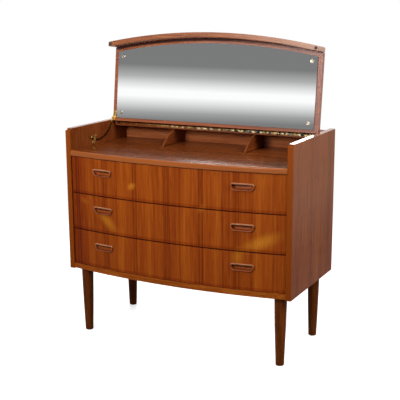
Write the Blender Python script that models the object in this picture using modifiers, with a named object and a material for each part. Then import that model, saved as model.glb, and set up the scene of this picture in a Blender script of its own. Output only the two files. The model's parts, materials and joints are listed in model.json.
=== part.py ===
"""Teak dressing chest with bowed drawers and a lift-up lid that carries a mirror.

Units are metres. X runs to the right, Y to the back, Z up. The origin lies on the floor, under the
middle of the piece. It is modelled as it stands with the lid open and the three drawers shut.
"""
import math

import bmesh
import bpy
from mathutils import Matrix, Vector

# Clearances
SEAT = 0.0003               # gap between pieces that touch
PLAY = 0.0005               # gap between pieces that slide on each other
WELD = 0.00001              # points closer than this are one

# Case
CASE_WIDTH = 0.900
CASE_DEPTH = 0.4155         # depth of a side panel
BOW_RISE = 0.042            # how far the front swells out beyond the side panels
SIDE_T = 0.020
SIDE_DROP = 0.0025          # the sides end this far below the bottom board
NOTCH_DEPTH = 0.012         # step at the top front corner of each side, down to the shut lid's level
NOTCH_HEIGHT = 0.007
BOTTOM_T = 0.020
BOTTOM_SETBACK = 0.003      # behind the swell of the top board
TOP_T = 0.020
TOP_EDGE_R = 0.0045         # rounding of the top board's front edge
COMPARTMENT_H = 0.081       # from the top board to the top of the sides
BACK_T = 0.006
BACK_RECESS = 0.014
EDGE_R = 0.0012             # eased edges of the boards

# Legs
LEG_LENGTH = 0.2535
LEG_TOP_D = 0.0448
LEG_FOOT_D = 0.0302
LEG_SWELL = 0.0006          # how far a leg swells, halfway down, beyond a straight taper
FOOT_R = 0.004
SPIGOT_D = 0.022
SPIGOT_LENGTH = 0.015
LEG_INSET_SIDE = 0.052      # leg axis from the outer face of the side
LEG_INSET_FRONT = 0.040     # leg axis behind the side's front edge
LEG_INSET_BACK = 0.051

# Rear shelf and the fins below it
SHELF_DEPTH = 0.105
SHELF_T = 0.018             # its top lies level with the notches in the sides
FIN_T = 0.008
FIN_INSET = {"left": 0.2665, "right": 0.255}    # middle of a fin from the side panel beside it
FIN_REACH = 0.090           # how far a fin's tip comes out in front of the shelf
FIN_CURVE_R = 0.19

# Drawers
DRAWER_NAMES = ("bottom", "middle", "top")
DRAWER_PITCH = 0.1372
DRAWER_GAP = 0.002          # dark joint between two fronts
FRONT_T = 0.020
FRONT_SETBACK = 0.005       # behind the swell of the top board
FRONT_SIDE_GAP = 0.0015
DRAWER_SIDE_T = 0.012
DRAWER_SIDE_H = 0.104
DRAWER_SIDE_LIFT = 0.014    # drawer sides above the lower edge of their front
DRAWER_SIDE_GAP = 0.002     # between a drawer side and the case
DRAWER_BACK_T = 0.010
DRAWER_BACK_DROP = 0.006
DRAWER_REAR_GAP = 0.012     # behind the drawer
PANEL_T = 0.005
PANEL_LIFT = 0.008          # drawer bottom above the lower edge of the drawer sides
PANEL_BITE = 0.005          # depth of the groove that holds the drawer bottom
RUNNER_W = 0.007
RUNNER_H = 0.014
RUNNER_LIFT = 0.052         # runner above the lower edge of the drawer sides
RUNNER_START = 0.006        # runner begins this far behind the drawer side's front end

# Finger pulls, let into the drawer fronts
PULL_WIDTH = 0.0855
PULL_HEIGHT = 0.0265
PULL_TAPER = 0.0105         # each end leans in by this much from top to foot
PULL_TOP_R = 0.009
PULL_FOOT_R = 0.012
PULL_RIM = 0.0063           # width of the raised rim
PULL_PROUD = 0.008
PULL_EDGE_H = 0.004         # upright outer edge of the rim, below its rounded crown
PULL_CUP_DEPTH = 0.011
PULL_FLOOR_T = 0.0025
PULL_DRAFT = 0.0005         # the cup narrows by this much down to its floor
PULL_SHOULDER = 0.003       # the rim covers the edge of its mortise by this much
PULL_INSET = 0.151          # middle of a pull from the side panel beside it
PULL_DROP = {"bottom": 0.054, "middle": 0.0515, "top": 0.049}     # middle of a pull below the front's edge

# Lid, hinged on the rear shelf
LID_LEAN = math.radians(6.87)
LID_OPEN = math.pi / 2 + LID_LEAN
LID_T = 0.016
LID_SIDE_GAP = 0.001
APRON_T = 0.018
APRON_SETBACK = 0.0015      # behind the swell of the top board
APRON_LIFT = 0.0025         # apron above the top board when the lid is shut
MIRROR_SIDE_GAP = 0.0045    # edge of the glass beside the stay bracket
MIRROR_T = 0.004
MIRROR_FOOT = 0.0158        # lower edge of the glass from the hinge axis
MIRROR_TOP_SETBACK = 0.0376 # upper edge of the glass behind the swell of the top board
CAP_D = 0.014
CAP_H = 0.004
CAP_SHANK_D = 0.004
CAP_INSET_SIDE = 0.021      # caps from the edges of the glass
CAP_INSET_FOOT = 0.0215
CAP_INSET_HEAD = 0.0212
BUFFER_D = 0.011
BUFFER_INSET = 0.0095       # from the end of the apron
BUFFER_PLAY = 0.0004        # above the top board when the lid is shut

# Piano hinge
PIN_BELOW_TOP = 0.002
HINGE_GAP = 0.003           # hinge axis to the wood on either side
HINGE_END_GAP = 0.010       # end of the hinge from the side panel
KNUCKLES = 17
KNUCKLE_GAP = 0.0004
KNUCKLE_R = 0.0025
PIN_R = 0.0012
LEAF_T = 0.001
SHELF_LEAF_H = 0.0108
CURL_START = math.radians(-130)     # the leaf's curl round the pin, between these angles
CURL_END = math.radians(140)

# Lid stay on the left side
STAY_U = 0.0155             # pivot on the lid: distance from the hinge axis along the lid
STAY_W = 0.0225             # and below the hinge axis when the lid is shut
GUIDE_FORWARD = 0.1518      # guide in front of the hinge axis
GUIDE_BELOW = 0.0508
GUIDE_TILT = math.radians(27)
GUIDE_LENGTH = 0.037
GUIDE_WIDTH = 0.009
GUIDE_BASE_T = 0.0012
GUIDE_PLATE_T = 0.002
GUIDE_SCREW_SPAN = 0.024
GUIDE_SCREW_D = 0.0036
GUIDE_HEAD_D = 0.0068
GUIDE_HEAD_H = 0.0018
ARM_T = 0.002
ARM_WIDTH = 0.007
ARM_CURVE_R = 0.106
ARM_OVERRUN = 0.026         # length of arm in front of the guide
KNOB_D = 0.008
KNOB_H = 0.005
KNOB_FOOT_D = 0.0055
RIVET_D = 0.0034
RIVET_HEAD_D = 0.0075
RIVET_CROWN_D = 0.005
RIVET_HEAD_H = 0.0010
BRACKET_WIDTH = 0.010
BRACKET_START = 0.006       # lower end of the bracket from the hinge axis
BRACKET_LENGTH = 0.037
BRACKET_T = 0.0015
LUG_START = math.radians(200)       # rounded end of the bracket's lug, between these angles
LUG_END = math.radians(340)

# Facets
BOW_STEPS = 24
TURN_STEPS = 24
SMALL_STEPS = 12
KNUCKLE_STEPS = 8
FILLET_STEPS = 5
LEG_STEPS = 6
EDGE_STEPS = 2
TOP_EDGE_STEPS = 3
ROUND = 0.5                         # profile of a bevel that is a quarter circle
SHARP_ANGLE = math.radians(40)
LEAST_FILLET = 0.25                 # share of its radius that an inner fillet keeps

# Levels and faces that follow from the sizes above
BOTTOM_Z = LEG_LENGTH
DRAWERS_Z = BOTTOM_Z + BOTTOM_T
TOP_Z = DRAWERS_Z + len(DRAWER_NAMES) * DRAWER_PITCH
FLOOR_Z = TOP_Z + TOP_T
CASE_TOP_Z = FLOOR_Z + COMPARTMENT_H
FRONT_Y = -(CASE_DEPTH + BOW_RISE) / 2
SIDE_FRONT_Y = FRONT_Y + BOW_RISE
BACK_Y = SIDE_FRONT_Y + CASE_DEPTH
BACK_FACE_Y = BACK_Y - BACK_RECESS - BACK_T
OUTER_HALF = CASE_WIDTH / 2
INNER_HALF = OUTER_HALF - SIDE_T
BOW_R = (INNER_HALF ** 2 + BOW_RISE ** 2) / (2 * BOW_RISE)
BOW_CENTRE_Y = FRONT_Y + BOW_R
SHELF_FRONT_Y = BACK_Y - SHELF_DEPTH
SHELF_TOP_Z = CASE_TOP_Z - NOTCH_HEIGHT
SHELF_Z = SHELF_TOP_Z - SHELF_T
PIN_Y = SHELF_FRONT_Y - HINGE_GAP
PIN_Z = SHELF_TOP_Z - PIN_BELOW_TOP
LID_HALF = INNER_HALF - LID_SIDE_GAP
LID_TOP = PIN_BELOW_TOP
LID_UNDER = LID_TOP - LID_T
HINGE_HALF = INNER_HALF - HINGE_END_GAP
PULL_X = INNER_HALF - PULL_INSET
BUFFER_X = LID_HALF - BUFFER_INSET
ARM_X = -INNER_HALF + SEAT + GUIDE_BASE_T + PLAY + ARM_T / 2
PLATE_X = ARM_X + ARM_T / 2 + PLAY
MIRROR_HALF = -(PLATE_X + BRACKET_WIDTH) - MIRROR_SIDE_GAP
CAP_X = MIRROR_HALF - CAP_INSET_SIDE

# Colours as they look under plain light, with roughness and metallic value
FINISHES = {
    "teak_front": ((0.36, 0.115, 0.028), 0.38, 0.0),
    "teak_side": ((0.25, 0.085, 0.032), 0.42, 0.0),
    "teak_solid": ((0.40, 0.125, 0.032), 0.38, 0.0),
    "teak_dark": ((0.085, 0.026, 0.011), 0.40, 0.0),
    "oak": ((0.42, 0.25, 0.12), 0.60, 0.0),
    "ply": ((0.40, 0.24, 0.12), 0.65, 0.0),
    "brass": ((0.72, 0.50, 0.20), 0.28, 1.0),
    "mirror_glass": ((0.80, 0.82, 0.83), 0.03, 1.0),
    "rubber": ((0.012, 0.012, 0.012), 0.70, 0.0),
}

PLANES = {
    "XY": Matrix(((1, 0, 0), (0, 1, 0), (0, 0, 1))),
    "YZ": Matrix(((0, 0, 1), (1, 0, 0), (0, 1, 0))),
    "XZ": Matrix(((1, 0, 0), (0, 0, -1), (0, 1, 0))),
}


def clear_scene():
    for obj in list(bpy.data.objects):
        bpy.data.objects.remove(obj, do_unlink=True)


def make_collection(name):
    collection = bpy.data.collections.new(name)
    bpy.context.scene.collection.children.link(collection)
    return collection


def make_material(name):
    colour, roughness, metallic = FINISHES[name]
    material = bpy.data.materials.new(name)
    material.use_nodes = True
    shader = material.node_tree.nodes["Principled BSDF"]
    shader.inputs["Base Color"].default_value = (*colour, 1.0)
    shader.inputs["Roughness"].default_value = roughness
    shader.inputs["Metallic"].default_value = metallic
    return material


clear_scene()
PARTS = make_collection("dressing_chest")
CUTTERS = make_collection("cutters")
MATERIALS = {name: make_material(name) for name in FINISHES}


def add_part(name, mesh, finish, parent=None, location=(0, 0, 0), rotation=(0, 0, 0)):
    """Put a mesh into the model under its name, with its finish."""
    obj = bpy.data.objects.new(name, mesh)
    obj.location = location
    obj.rotation_euler = rotation
    obj.parent = parent
    mesh.materials.clear()
    mesh.materials.append(MATERIALS[finish])
    PARTS.objects.link(obj)
    return obj


def add_axis(name, location, rotation=(0, 0, 0), parent=None):
    """An empty on a joint's axis, which carries the pieces that move on it."""
    empty = bpy.data.objects.new(name, None)
    empty.empty_display_size = 0.05
    empty.location = location
    empty.rotation_euler = rotation
    empty.parent = parent
    PARTS.objects.link(empty)
    return empty


def add_cutter(name, mesh, parent=None, location=(0, 0, 0), rotation=(0, 0, 0)):
    obj = bpy.data.objects.new(name, mesh)
    obj.location = location
    obj.rotation_euler = rotation
    obj.parent = parent
    obj.hide_render = True
    obj.display_type = 'WIRE'
    CUTTERS.objects.link(obj)
    return obj


def combine(obj, other, operation):
    modifier = obj.modifiers.new(operation.title() + " " + other.name, 'BOOLEAN')
    modifier.operation = operation
    modifier.object = other
    modifier.solver = 'EXACT'


def ease_edges(obj):
    """Round the sharp edges a little."""
    modifier = obj.modifiers.new("Eased edges", 'BEVEL')
    modifier.width = EDGE_R
    modifier.segments = EDGE_STEPS
    modifier.limit_method = 'ANGLE'
    modifier.angle_limit = SHARP_ANGLE


def evaluated_mesh(obj):
    """The object's mesh with its modifiers applied, its doubles merged; the object is removed."""
    graph = bpy.context.evaluated_depsgraph_get()
    mesh = bpy.data.meshes.new_from_object(obj.evaluated_get(graph))
    bm = bmesh.new()
    bm.from_mesh(mesh)
    bmesh.ops.remove_doubles(bm, verts=bm.verts, dist=WELD)
    bm.to_mesh(mesh)
    bm.free()
    bpy.data.objects.remove(obj, do_unlink=True)
    return mesh


def plate_mesh(outlines, plane, low, high):
    """A flat plate between two levels; the first outline is its edge, the others are holes in it."""
    curve = bpy.data.curves.new("outline", 'CURVE')
    curve.dimensions = '2D'
    curve.fill_mode = 'BOTH'
    curve.extrude = (high - low) / 2
    for outline in outlines:
        spline = curve.splines.new('POLY')
        spline.points.add(len(outline) - 1)
        spline.use_cyclic_u = True
        for point, (a, b) in zip(spline.points, outline):
            point.co = (a, b, 0, 1)
    obj = bpy.data.objects.new("outline", curve)
    CUTTERS.objects.link(obj)
    mesh = evaluated_mesh(obj)
    bpy.data.curves.remove(curve)
    turn = PLANES[plane]
    middle = turn @ Vector((0, 0, 1))
    shift = Vector([abs(c) for c in middle]) * (low + high) / 2
    mesh.transform(Matrix.Translation(shift) @ turn.to_4x4())
    return mesh


def box_mesh(low, high):
    """A box between two corners."""
    size = [b - a for a, b in zip(low, high)]
    middle = [(a + b) / 2 for a, b in zip(low, high)]
    bm = bmesh.new()
    bmesh.ops.create_cube(bm, size=1.0, matrix=Matrix.Translation(middle) @ Matrix.Diagonal((*size, 1)))
    mesh = bpy.data.meshes.new("box")
    bm.to_mesh(mesh)
    bm.free()
    return mesh


def rod_mesh(diameter, low, high, steps=SMALL_STEPS):
    """A round rod on the Z axis."""
    bm = bmesh.new()
    bmesh.ops.create_cone(bm, cap_ends=True, segments=steps, radius1=diameter / 2, radius2=diameter / 2,
                          depth=high - low, matrix=Matrix.Translation((0, 0, (low + high) / 2)))
    mesh = bpy.data.meshes.new("rod")
    bm.to_mesh(mesh)
    bm.free()
    return mesh


def turned_mesh(profile, steps):
    """A turned piece from (radius, height) points, which run down its outer side from the axis."""
    mesh = bpy.data.meshes.new("profile")
    points = [(radius, 0, height) for radius, height in profile]
    mesh.from_pydata(points, [(i, i + 1) for i in range(len(points) - 1)], [])
    obj = bpy.data.objects.new("profile", mesh)
    CUTTERS.objects.link(obj)
    screw = obj.modifiers.new("Turn", 'SCREW')
    screw.axis = 'Z'
    screw.angle = math.tau
    screw.steps = steps
    screw.render_steps = steps
    screw.use_merge_vertices = True
    screw.merge_threshold = WELD
    return evaluated_mesh(obj)


def gather(meshes_with_places):
    """One mesh that holds several separate bodies, each put in its place."""
    bm = bmesh.new()
    for mesh, matrix in meshes_with_places:
        copy = mesh.copy()
        copy.transform(matrix)
        bm.from_mesh(copy)
        bpy.data.meshes.remove(copy)
    mesh = bpy.data.meshes.new("group")
    bm.to_mesh(mesh)
    bm.free()
    return mesh


def dome_profile(diameter, height, base=0.0, steps=4):
    """Profile of a low round head that stands on the level base."""
    radius = diameter / 2
    angles = [math.pi / 2 * i / steps for i in range(steps + 1)]
    crown = [(radius * math.sin(a), base + height * math.cos(a)) for a in angles]
    return [(0, base + height)] + crown[1:]


def arc_points(centre, radius, start, end, steps):
    """Points along an arc from one angle to another."""
    angles = [start + (end - start) * i / steps for i in range(steps + 1)]
    return [(centre[0] + radius * math.cos(a), centre[1] + radius * math.sin(a)) for a in angles]


def arc_centre(start, end, radius):
    """Centre of the arc through two points, on the left of the way from start to end."""
    along = Vector((end[0] - start[0], end[1] - start[1]))
    half = along.length / 2
    left = Vector((-along.y, along.x)).normalized()
    middle = Vector(((start[0] + end[0]) / 2, (start[1] + end[1]) / 2))
    return middle + left * math.sqrt(radius ** 2 - half ** 2)


def bow_y(x, setback):
    """The swell of the front at x, set back along its radius."""
    return BOW_CENTRE_Y - math.sqrt((BOW_R - setback) ** 2 - x ** 2)


def bow_points(half, setback, centre_y=0.0):
    """Points along the swell from left to right, as seen from a level that lies at centre_y."""
    xs = [half * (2 * i / BOW_STEPS - 1) for i in range(BOW_STEPS + 1)]
    return [(x, bow_y(x, setback) - centre_y) for x in xs]


def filleted(corners, steps=FILLET_STEPS):
    """An outline from (x, y, radius) corners given counter-clockwise, each rounded to its radius."""
    points = []
    for i, (x, y, radius) in enumerate(corners):
        here = Vector((x, y))
        before = (Vector(corners[i - 1][:2]) - here).normalized()
        after = (Vector(corners[(i + 1) % len(corners)][:2]) - here).normalized()
        half = before.angle(after) / 2
        centre = here + (before + after).normalized() * radius / math.sin(half)
        first = here + before * radius / math.tan(half) - centre
        last = here + after * radius / math.tan(half) - centre
        start = math.atan2(first.y, first.x)
        sweep = (math.atan2(last.y, last.x) - start) % math.tau
        points += arc_points(centre, radius, start, start + sweep, steps)
    return points


def round_front_edge(mesh, radius):
    """Round the two long edges of a bowed board's front."""
    bm = bmesh.new()
    bm.from_mesh(mesh)
    sharp = [edge for edge in bm.edges if edge.calc_face_angle(0) > SHARP_ANGLE]
    level = [edge for edge in sharp if abs(edge.verts[0].co.z - edge.verts[1].co.z) < SEAT]
    front = [edge for edge in level if max(vert.co.y for vert in edge.verts) < SIDE_FRONT_Y + SEAT]
    bmesh.ops.bevel(bm, geom=front, offset=radius, segments=TOP_EDGE_STEPS, profile=ROUND,
                     affect='EDGES')
    bm.to_mesh(mesh)
    bm.free()
    return mesh


def make_case():
    """Sides, bowed boards, back panel and rear shelf."""
    side = [(SIDE_FRONT_Y, BOTTOM_Z - SIDE_DROP), (BACK_Y, BOTTOM_Z - SIDE_DROP), (BACK_Y, CASE_TOP_Z),
            (SIDE_FRONT_Y + NOTCH_DEPTH, CASE_TOP_Z),
            (SIDE_FRONT_Y + NOTCH_DEPTH, SHELF_TOP_Z), (SIDE_FRONT_Y, SHELF_TOP_Z)]
    for name, low in (("left", -OUTER_HALF), ("right", INNER_HALF)):
        ease_edges(add_part("side_" + name, plate_mesh([side], "YZ", low, low + SIDE_T), "teak_side"))

    half = INNER_HALF - SEAT
    rear = BACK_FACE_Y - SEAT
    corners = [(half, rear), (-half, rear)]
    top = plate_mesh([bow_points(half, 0) + corners], "XY", TOP_Z, FLOOR_Z)
    add_part("top_board", round_front_edge(top, TOP_EDGE_R), "teak_front")
    outline = bow_points(half, BOTTOM_SETBACK) + corners
    bottom = add_part("bottom_board", plate_mesh([outline], "XY", BOTTOM_Z, DRAWERS_Z), "teak_front")
    for x, y in leg_places():
        bore = rod_mesh(SPIGOT_D + 2 * SEAT, -SPIGOT_LENGTH, SPIGOT_LENGTH + SEAT, TURN_STEPS)
        combine(bottom, add_cutter("leg_bore", bore, location=(x, y, BOTTOM_Z)), 'DIFFERENCE')

    back = box_mesh((-half, BACK_FACE_Y, BOTTOM_Z), (half, BACK_FACE_Y + BACK_T, SHELF_Z - SEAT))
    add_part("back_panel", back, "ply")
    shelf = box_mesh((-half, SHELF_FRONT_Y, SHELF_Z), (half, BACK_Y, SHELF_TOP_Z))
    ease_edges(add_part("rear_shelf", shelf, "teak_side"))


def make_fins():
    """Thin dividers under the rear shelf, whose front edge sweeps down in a curve to a tip."""
    tip = (SHELF_FRONT_Y - FIN_REACH, FLOOR_Z + SEAT)
    head = (SHELF_FRONT_Y, SHELF_Z - SEAT)
    centre = arc_centre(head, tip, FIN_CURVE_R)
    start = math.atan2(head[1] - centre.y, head[0] - centre.x)
    end = math.atan2(tip[1] - centre.y, tip[0] - centre.x) % math.tau
    sweep = arc_points(centre, FIN_CURVE_R, start, end, BOW_STEPS // 2)
    rear = BACK_FACE_Y - SEAT
    outline = sweep + [(rear, tip[1]), (rear, head[1])]
    xs = {"left": -INNER_HALF + FIN_INSET["left"], "right": INNER_HALF - FIN_INSET["right"]}
    for name, x in xs.items():
        fin = plate_mesh([outline], "YZ", x - FIN_T / 2, x + FIN_T / 2)
        add_part("fin_" + name, fin, "teak_side")


def leg_places():
    xs = (-(OUTER_HALF - LEG_INSET_SIDE), OUTER_HALF - LEG_INSET_SIDE)
    ys = (SIDE_FRONT_Y + LEG_INSET_FRONT, BACK_Y - LEG_INSET_BACK)
    return [(x, y) for y in ys for x in xs]


def make_legs():
    """Turned, tapered legs; a spigot on top is glued into the bottom board."""
    shoulder = LEG_LENGTH - SEAT
    foot = arc_points((LEG_FOOT_D / 2 - FOOT_R, FOOT_R), FOOT_R, 0, -math.pi / 2, FILLET_STEPS)
    shaft = []
    for i in range(LEG_STEPS):
        down = i / LEG_STEPS
        radius = (LEG_TOP_D + (LEG_FOOT_D - LEG_TOP_D) * down) / 2 + LEG_SWELL * 4 * down * (1 - down)
        shaft.append((radius, shoulder + (FOOT_R - shoulder) * down))
    profile = [(0, shoulder + SPIGOT_LENGTH), (SPIGOT_D / 2, shoulder + SPIGOT_LENGTH),
               (SPIGOT_D / 2, shoulder)] + shaft + foot + [(0, 0)]
    mesh = turned_mesh(profile, TURN_STEPS)
    names = ("front_left", "front_right", "rear_left", "rear_right")
    for name, (x, y) in zip(names, leg_places()):
        leg = add_part("leg_" + name, mesh, "teak_dark", location=(x, y, 0))
        leg.data.shade_smooth()
        leg.data.set_sharp_from_angle(angle=SHARP_ANGLE)


def pull_ring(inset):
    """Outline of the finger pull: straight on top, tapered to its foot, drawn in by inset."""
    slope = math.atan2(PULL_TAPER, PULL_HEIGHT)
    lost_to_fillet = PULL_TOP_R * (1 / math.tan((math.pi / 2 - slope) / 2) - 1)
    sharp_half = PULL_WIDTH / 2 + lost_to_fillet
    widen = inset * (1 / math.cos(slope) - math.tan(slope))
    narrow = inset * (1 / math.cos(slope) + math.tan(slope))
    top = PULL_HEIGHT / 2 - inset
    head_half = sharp_half - narrow
    foot_half = sharp_half - PULL_TAPER - widen
    head_r = max(PULL_TOP_R - inset, PULL_TOP_R * LEAST_FILLET)
    foot_r = max(PULL_FOOT_R - inset, PULL_FOOT_R * LEAST_FILLET)
    return filleted([(head_half, top, head_r), (-head_half, top, head_r),
                     (-foot_half, -top, foot_r), (foot_half, -top, foot_r)])


def pull_mesh():
    """A moulded wooden cup with a raised, rounded rim, lofted through rings of one outline."""
    cup_floor = -PULL_CUP_DEPTH
    back = cup_floor - PULL_FLOOR_T
    rings = [(PULL_SHOULDER, back), (PULL_SHOULDER, SEAT), (0.0, SEAT), (0.0, PULL_EDGE_H)]
    crown = PULL_PROUD - PULL_EDGE_H
    for i in range(1, FILLET_STEPS):
        angle = math.pi * i / FILLET_STEPS
        rings.append((PULL_RIM / 2 * (1 - math.cos(angle)), PULL_EDGE_H + crown * math.sin(angle)))
    rings += [(PULL_RIM, 0.0), (PULL_RIM + PULL_DRAFT, cup_floor)]
    bm = bmesh.new()
    loops = []
    for inset, depth in rings:
        loops.append([bm.verts.new((x, -depth, z)) for x, z in pull_ring(inset)])
    count = len(loops[0])
    for outer, inner in zip(loops, loops[1:]):
        for i in range(count):
            j = (i + 1) % count
            bm.faces.new((outer[i], outer[j], inner[j], inner[i]))
    bm.faces.new(loops[0][::-1])
    bm.faces.new(loops[-1])
    bmesh.ops.recalc_face_normals(bm, faces=bm.faces)
    mesh = bpy.data.meshes.new("pull")
    bm.to_mesh(mesh)
    bm.free()
    return mesh


def drawer_side_outline(sign):
    """Section of a drawer side: a runner groove outside and the bottom panel's groove inside."""
    outer = INNER_HALF - DRAWER_SIDE_GAP
    inner = outer - DRAWER_SIDE_T
    low = DRAWER_SIDE_LIFT
    runner_cut = INNER_HALF - SEAT - RUNNER_W - 2 * PLAY
    runner_low = low + RUNNER_LIFT - PLAY
    runner_high = low + RUNNER_LIFT + RUNNER_H + SEAT
    panel_cut = inner + PANEL_BITE
    panel_low = low + PANEL_LIFT
    panel_high = panel_low + PANEL_T + 2 * SEAT
    points = [(inner, low), (outer, low), (outer, runner_low), (runner_cut, runner_low),
              (runner_cut, runner_high), (outer, runner_high), (outer, low + DRAWER_SIDE_H),
              (inner, low + DRAWER_SIDE_H), (inner, panel_high), (panel_cut, panel_high),
              (panel_cut, panel_low), (inner, panel_low)]
    return [(sign * x, z) for x, z in points]


def make_drawer(name, level):
    """One drawer: bowed front with two finger pulls, and a box that hangs on wooden runners."""
    axis = add_axis("drawer_" + name + "_axis", (0, 0, level))
    prefix = "drawer_" + name + "_"
    half = INNER_HALF - FRONT_SIDE_GAP
    height = DRAWER_PITCH - DRAWER_GAP
    outline = bow_points(half, FRONT_SETBACK) + bow_points(half, FRONT_SETBACK + FRONT_T)[::-1]
    front_mesh = plate_mesh([outline], "XY", DRAWER_GAP / 2, DRAWER_GAP / 2 + height)
    front = add_part(prefix + "front", front_mesh, "teak_front", axis)
    pull_z = DRAWER_GAP / 2 + height - PULL_DROP[name]
    mortise_depth = PULL_CUP_DEPTH + PULL_FLOOR_T + SEAT
    mortise = plate_mesh([pull_ring(PULL_SHOULDER - SEAT)], "XZ", -FRONT_T, mortise_depth)
    for side, sign in (("left", -1), ("right", 1)):
        x = sign * PULL_X
        place = (x, bow_y(x, FRONT_SETBACK), pull_z)
        turn = (0, 0, math.asin(x / (BOW_R - FRONT_SETBACK)))
        combine(front, add_cutter("mortise", mortise, axis, place, turn), 'DIFFERENCE')
        pull = add_part(prefix + "pull_" + side, PULL, "teak_solid", axis, place, turn)
        pull.data.shade_smooth()

    outer = INNER_HALF - DRAWER_SIDE_GAP
    inner = outer - DRAWER_SIDE_T
    side_start = bow_y(outer, FRONT_SETBACK + FRONT_T) + SEAT
    rear = BACK_FACE_Y - DRAWER_REAR_GAP
    for side, sign in (("left", -1), ("right", 1)):
        section = drawer_side_outline(sign)
        add_part(prefix + "side_" + side, plate_mesh([section], "XZ", side_start, rear), "oak", axis)
        bottom = DRAWER_SIDE_LIFT + RUNNER_LIFT
        start = side_start + RUNNER_START
        xs = sorted((sign * (INNER_HALF - SEAT), sign * (INNER_HALF - SEAT - RUNNER_W)))
        runner = box_mesh((xs[0], start, level + bottom),
                          (xs[1], BACK_FACE_Y - SEAT, level + bottom + RUNNER_H))
        add_part("runner_" + name + "_" + side, runner, "oak")

    panel_z = DRAWER_SIDE_LIFT + PANEL_LIFT + SEAT
    panel_half = inner + PANEL_BITE - SEAT
    panel = bow_points(panel_half, FRONT_SETBACK + FRONT_T + SEAT) + [(panel_half, rear), (-panel_half, rear)]
    add_part(prefix + "panel", plate_mesh([panel], "XY", panel_z, panel_z + PANEL_T), "ply", axis)
    back_low = (-inner + SEAT, rear - DRAWER_BACK_T, panel_z + PANEL_T + SEAT)
    back_high = (inner - SEAT, rear, DRAWER_SIDE_LIFT + DRAWER_SIDE_H - DRAWER_BACK_DROP)
    add_part(prefix + "back", box_mesh(back_low, back_high), "oak", axis)


def knuckle_span(index):
    """Left and right end of one knuckle of the hinge."""
    length = 2 * HINGE_HALF / KNUCKLES
    left = -HINGE_HALF + index * length
    return left + KNUCKLE_GAP / 2, left + length - KNUCKLE_GAP / 2


def leaf_mesh(first, height):
    """A hinge leaf in front of the axis, hanging down, with every second knuckle from the first on."""
    near = HINGE_GAP - SEAT - LEAF_T
    far = HINGE_GAP - SEAT
    neck = KNUCKLE_R + SEAT
    plate = add_cutter("leaf", box_mesh((-HINGE_HALF, -far, -height), (HINGE_HALF, -near, -neck)))
    ring = arc_points((0, 0), KNUCKLE_R, CURL_START, CURL_END, KNUCKLE_STEPS)
    outer = ring + [(-far, 0), (-far, -neck - LEAF_T), (-near, -neck - LEAF_T)]
    bore = arc_points((0, 0), PIN_R + SEAT, 0, math.tau * (1 - 1 / SMALL_STEPS), SMALL_STEPS - 1)
    curls = []
    for index in range(first, KNUCKLES, 2):
        low, high = knuckle_span(index)
        curls.append((plate_mesh([outer, bore], "YZ", low, high), Matrix.Identity(4)))
    knuckles = add_cutter("knuckles", gather(curls))
    combine(plate, knuckles, 'UNION')
    mesh = evaluated_mesh(plate)
    bpy.data.objects.remove(knuckles, do_unlink=True)
    return mesh


def make_hinge(lid_axis):
    """Brass piano hinge between the rear shelf and the lid, with its pin."""
    mirror_back = Matrix.Rotation(math.pi, 4, 'Z')
    shelf_leaf = leaf_mesh(0, SHELF_LEAF_H)
    shelf_leaf.transform(mirror_back)
    pin_place = (0, PIN_Y, PIN_Z)
    add_part("hinge_shelf_leaf", shelf_leaf, "brass", location=pin_place)
    lid_leaf_h = -LID_UNDER - SEAT
    add_part("hinge_lid_leaf", leaf_mesh(1, lid_leaf_h), "brass", lid_axis)
    rod = rod_mesh(2 * PIN_R, -HINGE_HALF, HINGE_HALF)
    add_part("hinge_pin", rod, "brass", location=pin_place, rotation=(0, math.pi / 2, 0))


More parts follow.
